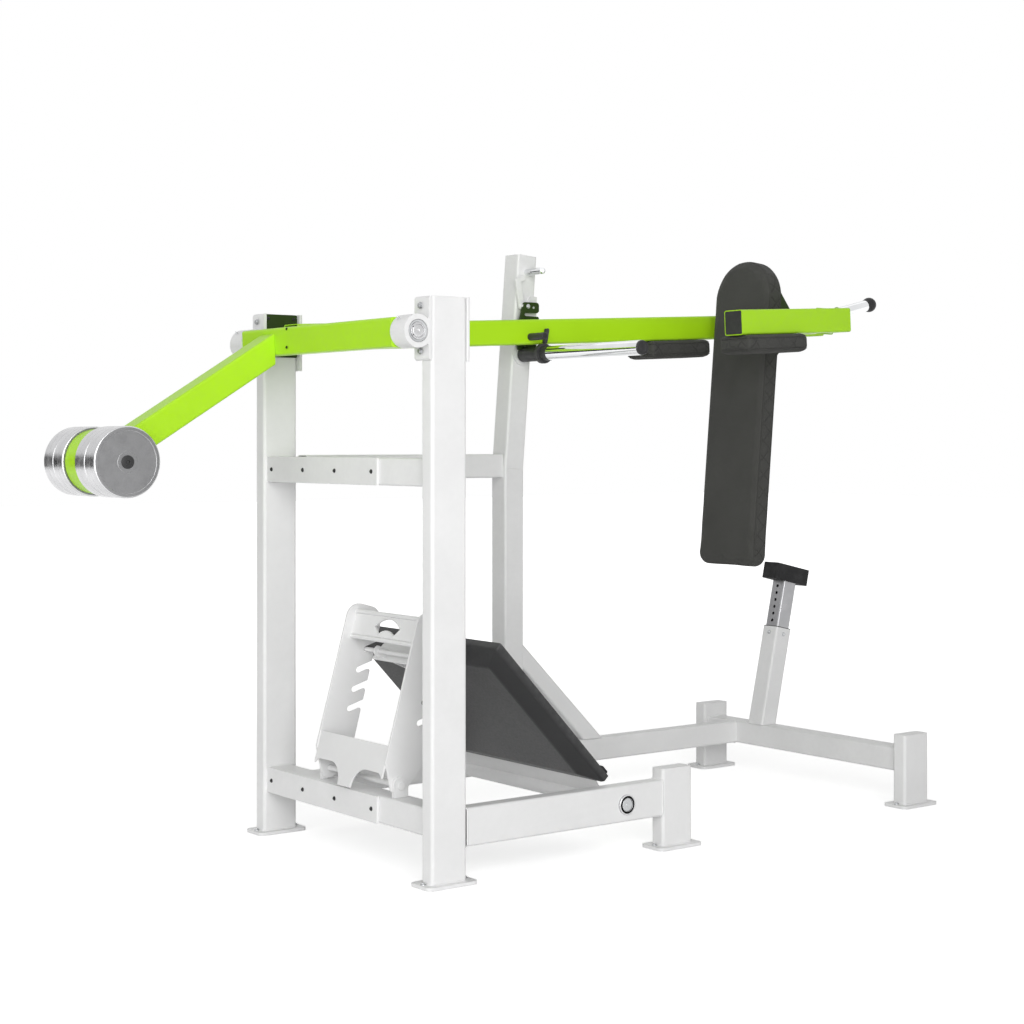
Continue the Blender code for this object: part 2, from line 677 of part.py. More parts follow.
def build_carriage(arm):
    """Crossbeam behind the back pad and the short beam over the open-side shoulder."""
    half = ARM_TUBE / 2
    near_face = NEAR_BEAM_Y + half + GAP
    far_face = ARM_Y - half - GAP
    mesh = tube_mesh("carriage_crossbeam", ARM_TUBE, ARM_TUBE, far_face - near_face)
    place = (CARRIAGE_REAR - half, (near_face + far_face) / 2, BEAM_RISE)
    add_part("carriage_crossbeam", mesh, LIME, place, ALONG_Y, arm)
    length = CARRIAGE_REAR - NEAR_BEAM_FRONT
    bar = plate_mesh("near_beam", ARM_TUBE, ARM_TUBE, length, TUBE_CORNER)
    place = (CARRIAGE_REAR - length / 2, NEAR_BEAM_Y, BEAM_RISE)
    beam = add_part("near_beam", bar, LIME, place, tilt(0.0), arm)
    inner = ARM_TUBE - 2 * WALL
    hollow = plate_mesh("near_beam_hollow", inner, inner, length, TUBE_CORNER - WALL)
    inside = (place[0] - 2 * WALL, NEAR_BEAM_Y, BEAM_RISE)
    combine(beam, add_cutter("near_beam_hollow", hollow, inside, tilt(0.0), arm), 'DIFFERENCE')


def build_shoulder_pads(arm):
    for name, y in (("shoulder_pad_near", NEAR_BEAM_Y), ("shoulder_pad_far", ARM_Y)):
        mesh = plate_mesh(name, SHOULDER_LENGTH, SHOULDER_WIDTH, SHOULDER_THICK, 0.022)
        top = BEAM_RISE - ARM_TUBE / 2 - GAP
        place = (SHOULDER_FRONT + SHOULDER_LENGTH / 2, y, top - SHOULDER_THICK / 2)
        pad = add_part(name, mesh, CHARCOAL, place, parent=arm)
        round_edges(pad, PAD_ROUND)


def user_y():
    return (NEAR_BEAM_Y + ARM_Y) / 2


def build_back_pad(pendulum):
    """Tall pad with a full-radius top, leaning back, on a bracket from the crossbeam."""
    half = BACK_PAD_WIDTH / 2
    corner = BACK_PAD_CORNER
    outline = arc((half - corner, corner), corner, -90.0, 0.0, 5)
    outline += arc((0.0, BACK_PAD_LENGTH - half), half, 0.0, 180.0, 20)
    outline += arc((corner - half, corner), corner, 180.0, 270.0, 5)
    mesh = outline_mesh("back_pad", [outline], BACK_PAD_THICK)
    frame = new_empty("back_pad_face", (BACK_PAD_FOOT_X - PIVOT_X, user_y(), BACK_PAD_FOOT_Z - PIVOT_Z),
                      (0.0, BACK_PAD_LEAN, 0.0), pendulum)
    pad = add_part("back_pad", mesh, CHARCOAL, (BACK_PAD_THICK / 2, 0.0, 0.0),
                   (math.pi / 2, 0.0, math.pi / 2), frame)
    round_edges(pad, PAD_ROUND)
    return frame


def build_back_bracket(arm):
    """Two cheeks and a backing plate that carry the back pad off the crossbeam."""
    lean = BACK_PAD_LEAN + ARM_TILT
    foot = Vector((BACK_PAD_FOOT_X - PIVOT_X, 0.0, BACK_PAD_FOOT_Z - PIVOT_Z))
    foot.rotate(Matrix.Rotation(ARM_TILT, 3, 'Y'))
    face_x = CARRIAGE_REAR - ARM_TUBE - GAP
    half = ARM_TUBE / 2
    rise = BEAM_RISE - foot.z
    pad_back = foot.x + rise * math.tan(lean) + (BACK_PAD_THICK + GAP) / math.cos(lean)
    tall = BRACKET_HEIGHT / 2
    shift = tall * math.tan(lean)
    plate = BRACKET_THICK / math.cos(lean)
    outline = [(pad_back - shift, -tall), (pad_back - shift + plate, -tall), (face_x, -half),
               (face_x, half), (pad_back + shift + plate, tall), (pad_back + shift, tall)]
    mesh = outline_mesh("back_bracket", [outline], BRACKET_WIDTH)
    body = add_part("back_bracket", mesh, DARK_GREEN, (0.0, user_y(), BEAM_RISE), FACING_Y, arm)
    room = BRACKET_WIDTH - 2 * BRACKET_THICK
    depth = face_x - pad_back + 2 * shift
    opening = box_mesh("bracket_opening", (depth, room, BRACKET_HEIGHT + 0.02))
    centre = (pad_back + plate + depth / 2, user_y(), BEAM_RISE)
    cutter = add_cutter("bracket_opening", opening, centre, (0.0, lean, 0.0), arm)
    combine(body, cutter, 'DIFFERENCE')


def build_handle(arm):
    """Chrome grip with a ball end behind the short beam."""
    rise = HANDLE_RISE
    start = Vector((CARRIAGE_REAR + GAP, NEAR_BEAM_Y, HANDLE_START_UP))
    mesh = cylinder_mesh("handle_near", HANDLE_R, HANDLE_LENGTH, 20)
    mitre(mesh, -1, (math.sin(rise), 0.0, math.cos(rise)))
    grip = add_part("handle_near", mesh, CHROME, run(start, rise, HANDLE_LENGTH / 2), tilt(rise), arm)
    ball = bpy.data.meshes.new("handle_ball")
    work = bmesh.new()
    bmesh.ops.create_uvsphere(work, u_segments=20, v_segments=12, radius=HANDLE_BALL_R)
    work.to_mesh(ball)
    work.free()
    place = run(start, rise, HANDLE_LENGTH)
    combine(grip, add_cutter("handle_ball", ball, place, tilt(rise), arm), 'UNION')


# Plate horn, its clamp collar and the parking catch

def horn_place(y):
    return (HORN_RADIUS, y, -HORN_DROP)


def build_horn(arm):
    """Loading horn under the arm with its rounded end cap, its far end facing the cradle."""
    length = HORN_FAR_Y - HORN_NEAR_Y
    cap = HORN_CAP_LENGTH
    nose = arc((HORN_CAP_R - 0.008, length - 0.008), 0.008, 90.0, 0.0, 4)
    profile = [(0.0, length)] + nose + [(HORN_CAP_R, length - cap), (HORN_R, length - cap),
                                        (HORN_R, 0.0), (0.0, 0.0)]
    turned("plate_horn", profile, CHROME, location=horn_place(HORN_FAR_Y), rotation=FACING_Y, parent=arm)


def build_collar(arm):
    """Clamp collar that slides along the horn, and its cam lever."""
    collar_y = ARM_Y - ARM_TUBE / 2 - COLLAR_SIDE_GAP - COLLAR_THICK / 2
    slide = new_empty("collar_axis", horn_place(collar_y), (0.0, 0.0, 0.0), arm)
    ring = ring_mesh("horn_collar", COLLAR_R, HORN_R + GAP, COLLAR_THICK, 32)
    add_part("horn_collar", ring, BLACK_PAINT, rotation=FACING_Y, parent=slide)
    half = LEVER_WIDTH / 2
    reach = COLLAR_R + GAP + half
    place = (reach * math.sin(LEVER_LEAN), 0.0, reach * math.cos(LEVER_LEAN))
    turn = new_empty("collar_lever_axis", place, (0.0, LEVER_LEAN, 0.0), slide)
    tip = (0.0, LEVER_LENGTH - LEVER_WIDTH)
    outline = arc((0.0, 0.0), half, 180.0, 360.0, 8) + arc(tip, half, 0.0, 180.0, 8)
    lever = outline_mesh("collar_lever", [outline], COLLAR_THICK - 0.002)
    add_part("collar_lever", lever, BLACK_PAINT, rotation=FACING_Y, parent=turn)


def catch_outline():
    """Catch plate in the arm's axes: tall back, low seat for the stop peg, chamfered foot."""
    left = CATCH_PIVOT_ALONG - 0.030
    right = CATCH_PIVOT_ALONG + CATCH_HEAD_R
    under = BEAM_RISE - ARM_TUBE / 2
    low = under - CATCH_FOOT_DROP
    seat = BEAM_RISE + ARM_TUBE / 2 - CATCH_SEAT_DROP
    outline = [(left - 0.014, under), (left + 0.004, low), (left + 0.064, low), (left + 0.082, under),
               (right + 0.052, seat), (right + 0.006, seat)]
    outline += arc((CATCH_PIVOT_ALONG, CATCH_PIVOT_UP), CATCH_HEAD_R, 0.0, 90.0, 4)
    outline.append((left + 0.012, CATCH_PIVOT_UP + CATCH_HEAD_R))
    return outline


def build_catch(arm):
    """Side plate bolted to the arm and the hook that closes over the stop peg."""
    y = ARM_Y + ARM_TUBE / 2 + GAP + CATCH_THICK / 2
    bore = arc((CATCH_PIVOT_ALONG, CATCH_PIVOT_UP), CATCH_PIN_R + 2 * GAP, 0.0, 337.5, 15)
    mesh = outline_mesh("catch_plate", [catch_outline(), bore], CATCH_THICK)
    plate = add_part("catch_plate", mesh, DARK_GREEN, (0.0, y, 0.0), FACING_Y, arm)
    horn = cylinder_mesh("catch_clear", HORN_R + 2 * GAP, CATCH_THICK * 3, 32)
    combine(plate, add_cutter("catch_clear", horn, horn_place(y), ALONG_Y, arm), 'DIFFERENCE')
    turn = new_empty("catch_axis", (CATCH_PIVOT_ALONG, y + CATCH_THICK / 2 + GAP, CATCH_PIVOT_UP),
                     (0.0, -CATCH_REST, 0.0), arm)
    build_hook(turn)


def build_hook(turn):
    """Hook drawn closed, with its arm along local X and its nose turned down."""
    reach = CATCH_LENGTH
    half = 0.011
    outline = arc((0.0, 0.0), half, 90.0, 270.0, 8)
    nose = HOOK_NOSE_R
    outline.append((reach - 2 * nose - 0.002, -half))
    outline += arc((reach - nose, nose - HOOK_NOSE_DROP), nose, 180.0, 360.0, 8)
    outline += arc((reach - 0.014, half - 0.014), 0.014, 0.0, 90.0, 4)
    mesh = outline_mesh("catch_hook", [outline], CATCH_THICK)
    hook = add_part("catch_hook", mesh, DARK_GREEN, (0.0, CATCH_THICK / 2, 0.0), FACING_Y, turn)
    pin = cylinder_mesh("catch_pin", CATCH_PIN_R, CATCH_THICK * 2, 16)
    combine(hook, add_cutter("catch_pin", pin, (0.0, 0.0, 0.0), ALONG_Y, turn), 'UNION')


def build_cradle(parent):
    """White side plate on the third post with the round seat behind the horn's end."""
    y = POST_Y - BEAM / 2 - GAP - CRADLE_THICK / 2
    horn_x = PIVOT_X + HORN_RADIUS * math.cos(ARM_TILT) + HORN_DROP * math.sin(ARM_TILT)
    horn_z = PIVOT_Z + HORN_RADIUS * math.sin(ARM_TILT) - HORN_DROP * math.cos(ARM_TILT)
    rise = 0.200
    back = horn_x + CRADLE_R
    lean = math.tan(POST_LEAN * 2.4)
    outline = [(horn_x + 0.062, horn_z + rise), (horn_x + rise * lean - 0.004, horn_z + rise)]
    outline += [(horn_x - CRADLE_R, horn_z + 0.020)]
    outline += arc((horn_x, horn_z), CRADLE_R, 180.0, 315.0, 12)
    outline += [(back + 0.020, horn_z + 0.030)]
    mesh = outline_mesh("cradle_plate", [outline], CRADLE_THICK)
    add_part("cradle_plate", mesh, WHITE, (0.0, y, 0.0), FACING_Y, parent)


# Footplate

def build_footplate_axle(parent):
    """Headed axle through both rails, its head showing on the open side."""
    near = UPRIGHT_WIDTH / 2 + GAP
    far = POST_Y - UPRIGHT_NEAR_Y + UPRIGHT_WIDTH / 2
    head = near + AXLE_HEAD_THICK
    ring = AXLE_R + 0.004
    profile = [(0.0, head - 0.001), (AXLE_R + 0.001, head - 0.001), (AXLE_R + 0.001, head - 0.003),
               (ring, head - 0.003), (ring, head), (AXLE_HEAD_R - 0.001, head), (AXLE_HEAD_R, head - 0.001),
               (AXLE_HEAD_R, near), (AXLE_R, near), (AXLE_R, -far), (0.0, -far)]
    place = (HINGE_X, UPRIGHT_NEAR_Y, HINGE_Z)
    turned("footplate_axle", profile, STEEL, location=place, rotation=FACING_Y, parent=parent)


def ladder_pivot_z():
    return CROSSBAR_LOW_Z + BEAM / 2 + LUG_RISE


def arm_plate_outline():
    """Side view of an arm plate in the footplate's axes, hinge at the origin."""
    across = Vector((-math.cos(TRAY_SLOPE), math.sin(TRAY_SLOPE)))
    up = Vector((math.sin(TRAY_SLOPE), math.cos(TRAY_SLOPE)))
    foot = Vector((TRAY_FOOT_X - HINGE_X, TRAY_FOOT_Z - HINGE_Z))
    rod = Vector((ROD_X - HINGE_X, ROD_Z - HINGE_Z))

    def place(along, height):
        return foot + across * along + up * height

    seat = -TRAY_SEAT - GAP
    panel = TRAY_LIP + TRAY_DEPTH - TRAY_SEAT - TRAY_SHEET - 2 * GAP
    inner = TRAY_BEVEL + 0.020
    outline = [place(-0.012, seat), place(inner - 0.010, seat), place(inner + 0.014, panel)]
    outline += [place(TRAY_LENGTH - inner - 0.014, panel), place(TRAY_LENGTH - inner + 0.010, seat)]
    outline.append(place(TRAY_LENGTH + 0.004, seat))
    heading = math.degrees(math.atan2(rod.y, rod.x))
    outline += [Vector(point) for point in arc(rod, ROD_TIP_R, heading - 60.0, heading + 90.0, 6)]
    outline += [Vector(point) for point in arc((0.0, 0.0), ARM_EYE_R, heading + 80.0, heading + 300.0, 12)]
    return [(point.x, point.y) for point in outline]


def build_footplate_frame(hinge):
    """Hinge tube, two arm plates and the prop rod, welded as one frame."""
    near = UPRIGHT_NEAR_Y + UPRIGHT_WIDTH / 2 + HINGE_TUBE_MARGIN
    far = POST_Y - UPRIGHT_WIDTH / 2 - HINGE_TUBE_MARGIN
    middle = (near + far) / 2
    tube = ring_mesh("footplate_frame", HINGE_TUBE_R, AXLE_R + GAP, far - near, 24)
    frame = add_part("footplate_frame", tube, WHITE, (0.0, middle, 0.0), FACING_Y, hinge)
    outline = arm_plate_outline()
    step = 360.0 / 24
    bore = arc((0.0, 0.0), HINGE_TUBE_R - 0.002, 0.0, 360.0 - step, 23)
    reach = LADDER_WIDTH / 2 - ARM_PLATE_INSET
    for side in (-1, 1):
        name = "arm_plate_{}".format("near" if side < 0 else "far")
        mesh = outline_mesh(name, [outline, bore], ARM_PLATE)
        plate = add_cutter(name, mesh, (0.0, LADDER_Y + side * reach, 0.0), FACING_Y, hinge)
        combine(frame, plate, 'UNION')
    length = LADDER_WIDTH + LADDER_PLATE + 2 * ROD_OVERHANG
    rod = cylinder_mesh("prop_rod", ROD_R, length, 16)
    place = (ROD_X - HINGE_X, LADDER_Y, ROD_Z - HINGE_Z)
    combine(frame, add_cutter("prop_rod", rod, place, ALONG_Y, hinge), 'UNION')


def tray_point(along, height):
    """Middle of the tray in the hinge's axes, a way up the slope and off it."""
    foot = Vector((TRAY_FOOT_X - HINGE_X, TRAY_NEAR_Y + TRAY_WIDTH / 2, TRAY_FOOT_Z - HINGE_Z))
    return run(run(foot, math.pi - TRAY_SLOPE, along), math.pi / 2 - TRAY_SLOPE, height)


def build_tray(hinge):
    """Pressed footplate: raised panel, sloped sides and a turned-down lip."""
    mesh = bpy.data.meshes.new("footplate_tray")
    work = bmesh.new()
    bmesh.ops.create_grid(work, x_segments=1, y_segments=1, size=0.5)
    bmesh.ops.scale(work, vec=(TRAY_LENGTH, TRAY_WIDTH, 1.0), verts=work.verts)
    panel = work.faces[:]
    edges = work.edges[:]
    lip = bmesh.ops.extrude_edge_only(work, edges=edges)
    lip_verts = [item for item in lip["geom"] if isinstance(item, bmesh.types.BMVert)]
    bmesh.ops.translate(work, vec=(0.0, 0.0, -TRAY_LIP), verts=lip_verts)
    bmesh.ops.inset_region(work, faces=panel, thickness=TRAY_BEVEL, depth=TRAY_DEPTH, use_even_offset=True)
    bmesh.ops.recalc_face_normals(work, faces=work.faces)
    work.to_mesh(mesh)
    work.free()
    centre = tray_point(TRAY_LENGTH / 2, TRAY_LIP - TRAY_SEAT)
    tray = add_part("footplate_tray", mesh, BLACK_PAINT, centre, (0.0, TRAY_SLOPE, 0.0), hinge)
    sheet = tray.modifiers.new("sheet", 'SOLIDIFY')
    sheet.thickness = TRAY_SHEET
    sheet.offset = -1.0
    sheet.use_even_offset = True


def build_heel_bar(hinge):
    """Rubber heel stop lying across the lower edge of the raised panel."""
    panel = TRAY_LIP - TRAY_SEAT + TRAY_DEPTH
    along = TRAY_BEVEL + HEEL_BAR_MARGIN + HEEL_BAR_DEPTH / 2
    centre = tray_point(along, panel + GAP + HEEL_BAR_THICK / 2)
    width = TRAY_WIDTH - 2 * (TRAY_BEVEL + HEEL_BAR_MARGIN)
    bar = add_part("heel_bar", box_mesh("heel_bar", (HEEL_BAR_DEPTH, width, HEEL_BAR_THICK)), BLACK_RUBBER,
                   centre, (0.0, TRAY_SLOPE, 0.0), hinge)
    round_edges(bar, 0.004)


# Notched ladder

def slot_ends():
    """Closed end of each slot in the ladder's axes, the highest one round the prop rod."""
    rod = Vector((ROD_X - LADDER_PIVOT_X, ROD_Z - ladder_pivot_z()))
    across = rod.x * math.cos(LADDER_LEAN) - rod.y * math.sin(LADDER_LEAN)
    along = rod.x * math.sin(LADDER_LEAN) + rod.y * math.cos(LADDER_LEAN)
    return [(across, along - SLOT_PITCH * index) for index in range(SLOT_COUNT)]


def ladder_outline():
    """Side plate of the ladder: round foot, straight back, round head and open slots."""
    half = LADDER_HALF
    foot = arc((0.0, 0.0), LADDER_FOOT_R, 215.0, 330.0, 8)
    top = arc((half - LADDER_TOP_R, LADDER_LENGTH - LADDER_TOP_R), LADDER_TOP_R, 0.0, 90.0, 6)
    back = arc((LADDER_TOP_R - half, LADDER_LENGTH - LADDER_TOP_R), LADDER_TOP_R, 90.0, 180.0, 6)
    return foot + [(half, 0.060)] + top + back + [(-half, 0.055)]


def build_ladder(turn):
    """Two slotted side plates tied by rods, a hand plate, an arched bridge and the pivot rod."""
    outline = ladder_outline()
    names = ("ladder_plate_near", "ladder_plate_far")
    sides = [outline_mesh(name, [outline], LADDER_PLATE) for name in names]
    half = LADDER_WIDTH / 2
    ladder = add_part("ladder", sides[0], WHITE, (0.0, -half, 0.0), FACING_Y, turn)
    far = add_cutter(names[1], sides[1], (0.0, half, 0.0), FACING_Y, turn)
    combine(ladder, far, 'UNION')
    tilt_in = SLOT_RISE + LADDER_LEAN
    for index, (across, along) in enumerate(slot_ends()):
        name = "ladder_slot_{}".format(index + 1)
        rounded = arc((0.0, 0.0), SLOT_WIDTH / 2, 90.0, 270.0, 8)
        rounded += [(SLOT_LENGTH, -SLOT_WIDTH / 2), (SLOT_LENGTH, SLOT_WIDTH / 2)]
        slot = outline_mesh(name, [rounded], LADDER_WIDTH + 0.04)
        cutter = add_cutter(name, slot, (across, 0.0, along), (math.pi / 2, -tilt_in, 0.0), turn)
        combine(ladder, cutter, 'DIFFERENCE')
    width = LADDER_WIDTH
    for index, (across, along) in enumerate(((-0.030, LADDER_LENGTH - 0.026), (-0.030, LADDER_LENGTH - 0.104))):
        name = "ladder_rod_{}".format(index + 1)
        rod = cylinder_mesh(name, CROSS_ROD_R, width, 12)
        combine(ladder, add_cutter(name, rod, (across, 0.0, along), ALONG_Y, turn), 'UNION')
    combine(ladder, add_hand_plate(turn), 'UNION')
    combine(ladder, add_bridge(turn), 'UNION')
    reach = width + LADDER_PLATE + 2 * (LUG_THICK + 0.006)
    pin = cylinder_mesh("ladder_pin", LADDER_BUSH_R, reach, 16)
    combine(ladder, add_cutter("ladder_pin", pin, (0.0, 0.0, 0.0), ALONG_Y, turn), 'UNION')


def add_hand_plate(turn):
    """Cross plate between the two rods with a curved hand hole."""
    middle = LADDER_LENGTH - 0.065
    hole = arc((0.0, -0.060), 0.085, 125.0, 55.0, 8)
    hole += arc((0.0, -0.060), 0.062, 55.0, 125.0, 8)
    outline = rounded_rectangle(LADDER_WIDTH, CROSS_PLATE_HEIGHT, 0.003, 2)
    mesh = outline_mesh("ladder_hand_plate", [outline, hole], 0.004)
    return add_cutter("ladder_hand_plate", mesh, (-0.030, 0.0, middle), (math.pi / 2, 0.0, math.pi / 2), turn)


def add_bridge(turn):
    """Lower tie plate with two arches cut up from its bottom edge."""
    half = LADDER_WIDTH / 2
    outline = [(half, BRIDGE_HIGH), (-half, BRIDGE_HIGH), (-half, BRIDGE_LOW)]
    for centre in (-half * 0.5, half * 0.5):
        outline += arc((centre, BRIDGE_LOW), ARCH_R, 180.0, 0.0, 10)
    outline.append((half, BRIDGE_LOW))
    mesh = outline_mesh("ladder_bridge", [outline], 0.006)
    place = (0.006 - LADDER_HALF, 0.0, 0.0)
    return add_cutter("ladder_bridge", mesh, place, (math.pi / 2, 0.0, math.pi / 2), turn)


def build_lugs(parent):
    """Round-topped lugs on the low crossbar that hold the ladder's pivot rod."""
    z = ladder_pivot_z()
    half = LUG_WIDTH / 2
    base = -LUG_RISE + GAP
    step = 360.0 / 16
    for side, sign in (("near", -1), ("far", 1)):
        name = "ladder_lug_" + side
        outline = arc((0.0, 0.0), half, 0.0, 180.0, 12) + [(-half, base), (half, base)]
        bore = arc((0.0, 0.0), LADDER_BUSH_R + GAP, 0.0, 360.0 - step, 15)
        mesh = outline_mesh(name, [outline, bore], LUG_THICK)
        y = LADDER_Y + sign * (LADDER_WIDTH / 2 + LADDER_PLATE / 2 + GAP + LUG_THICK / 2)
        add_part(name, mesh, WHITE, (LADDER_PIVOT_X, y, z), FACING_Y, parent)


def build_frame(root):
    build_post("upright_near", (UPRIGHT_X, UPRIGHT_NEAR_Y), UPRIGHT_TOP, root)
    build_post("upright_far", (UPRIGHT_X, UPRIGHT_FAR_Y), UPRIGHT_TOP, root)
    build_post("stub_post_near", (POST_X, UPRIGHT_NEAR_Y), STUB_TOP, root)
    build_post("rear_post_near", (REAR_X, UPRIGHT_NEAR_Y), STUB_TOP, root)
    build_post("rear_post_far", (REAR_X, REAR_FAR_Y), STUB_TOP, root)
    build_crossbars(root)
    build_rails(root)
    build_third_post(root)
    build_mid_beam(root)
    build_brace(root)
    build_rear(root)
    build_bumper_sleeve(root)
    build_stop_peg(root)
    build_bearings(root)
    build_cradle(root)
    build_footplate_axle(root)
    build_lugs(root)


def build_pendulum(root):
    pendulum = new_empty("pendulum_axis", (PIVOT_X, 0.0, PIVOT_Z), parent=root)
    arm = new_empty("arm_line", rotation=(0.0, -ARM_TILT, 0.0), parent=pendulum)
    build_axle(arm)
    build_main_arm(arm)
    build_weight_arm(arm)
    build_weights(arm)
    build_carriage(arm)
    build_shoulder_pads(arm)
    build_back_pad(pendulum)
    build_back_bracket(arm)
    build_handle(arm)
    build_horn(arm)
    build_collar(arm)
    build_catch(arm)


def build_footplate(root):
    hinge = new_empty("footplate_axis", (HINGE_X, 0.0, HINGE_Z), parent=root)
    build_footplate_frame(hinge)
    build_tray(hinge)
    build_heel_bar(hinge)
    turn = new_empty("ladder_axis", (LADDER_PIVOT_X, LADDER_Y, ladder_pivot_z()),
                     (0.0, LADDER_LEAN, 0.0), root)
    build_ladder(turn)


def centre_on_floor(root):
    """Put the origin on the floor under the middle of the machine's box."""
    bpy.context.view_layer.update()
    graph = bpy.context.evaluated_depsgraph_get()
    corners = []
    for obj in parts.objects:
        if obj.type == 'MESH':
            shape = obj.evaluated_get(graph)
            corners += [shape.matrix_world @ vertex.co for vertex in shape.data.vertices]
    for axis in (0, 1):
        values = [corner[axis] for corner in corners]
        root.location[axis] = -(min(values) + max(values)) / 2
    bpy.context.view_layer.update()


def main():
    global parts, cutters
    clear_scene()
    parts = new_collection("pendulum_squat_machine")
    cutters = new_collection("cutters")
    root = new_empty("machine")
    build_frame(root)
    build_pendulum(root)
    build_footplate(root)
    build_bumper_stem(root)
    centre_on_floor(root)


main()
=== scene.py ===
"""Pendulum squat machine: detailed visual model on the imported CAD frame.

Lengths are metres in the row frame: +X runs from the counterweights to the
back pad, +Y from the open side to the main arm, +Z up.
"""
import sys
import logging
import math
from dataclasses import dataclass
from enum import Enum
from typing import Optional, Sequence

import bmesh
import bpy
from mathutils import Matrix, Vector
from mathutils.bvhtree import BVHTree


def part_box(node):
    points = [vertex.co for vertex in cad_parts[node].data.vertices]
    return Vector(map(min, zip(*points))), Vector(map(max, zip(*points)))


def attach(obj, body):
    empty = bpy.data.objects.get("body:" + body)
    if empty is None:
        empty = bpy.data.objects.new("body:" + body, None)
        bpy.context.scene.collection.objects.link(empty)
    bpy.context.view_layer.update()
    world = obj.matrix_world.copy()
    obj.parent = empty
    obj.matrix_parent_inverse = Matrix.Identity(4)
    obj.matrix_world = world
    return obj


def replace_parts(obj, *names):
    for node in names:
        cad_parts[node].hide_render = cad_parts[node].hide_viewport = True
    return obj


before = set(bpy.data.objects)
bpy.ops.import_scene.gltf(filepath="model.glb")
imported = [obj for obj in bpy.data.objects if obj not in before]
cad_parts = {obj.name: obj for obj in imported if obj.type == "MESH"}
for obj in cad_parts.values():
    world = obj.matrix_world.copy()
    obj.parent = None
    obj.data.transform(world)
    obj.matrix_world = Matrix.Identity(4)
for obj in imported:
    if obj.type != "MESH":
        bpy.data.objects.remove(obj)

logging.basicConfig(level=logging.INFO, format="%(asctime)s %(message)s", stream=sys.stdout)
LOG = logging.getLogger("pendulum_squat")

Point = Sequence[float]
Colour = tuple[float, float, float]
Profile = list[tuple[float, float]]

ARM_TILT = 0.0541  # rise of the lime arm at rest, in radians
SHARP = math.radians(50.0)  # edges steeper than this stay sharp
SIDE_ON = Matrix(((1, 0, 0, 0), (0, 0, -1, 0), (0, 1, 0, 0), (0, 0, 0, 1)))  # a plate seen from the open side
END_ON = Matrix(((0, 0, 1, 0), (1, 0, 0, 0), (0, 1, 0, 0), (0, 0, 0, 1)))  # a plate seen along the machine


class Slot(Enum):
    """Material slots of the record."""

    WHITE = "white_paint"
    LIME = "lime_paint"
    GREEN = "dark_green_paint"
    STEEL = "steel"
    CHROME = "chrome"
    RUBBER = "black_rubber"
    BLACK = "black_paint"
    COVER = "charcoal_cover"


class Body(Enum):
    """Moving bodies that pieces ride on."""

    FRAME = "frame"
    PENDULUM = "pendulum"
    CATCH = "catch"
    COLLAR = "collar"
    LEVER = "collar_lever"
    FOOTPLATE = "footplate"
    LADDER = "ladder"
    BUMPER = "bumper"


# Materials


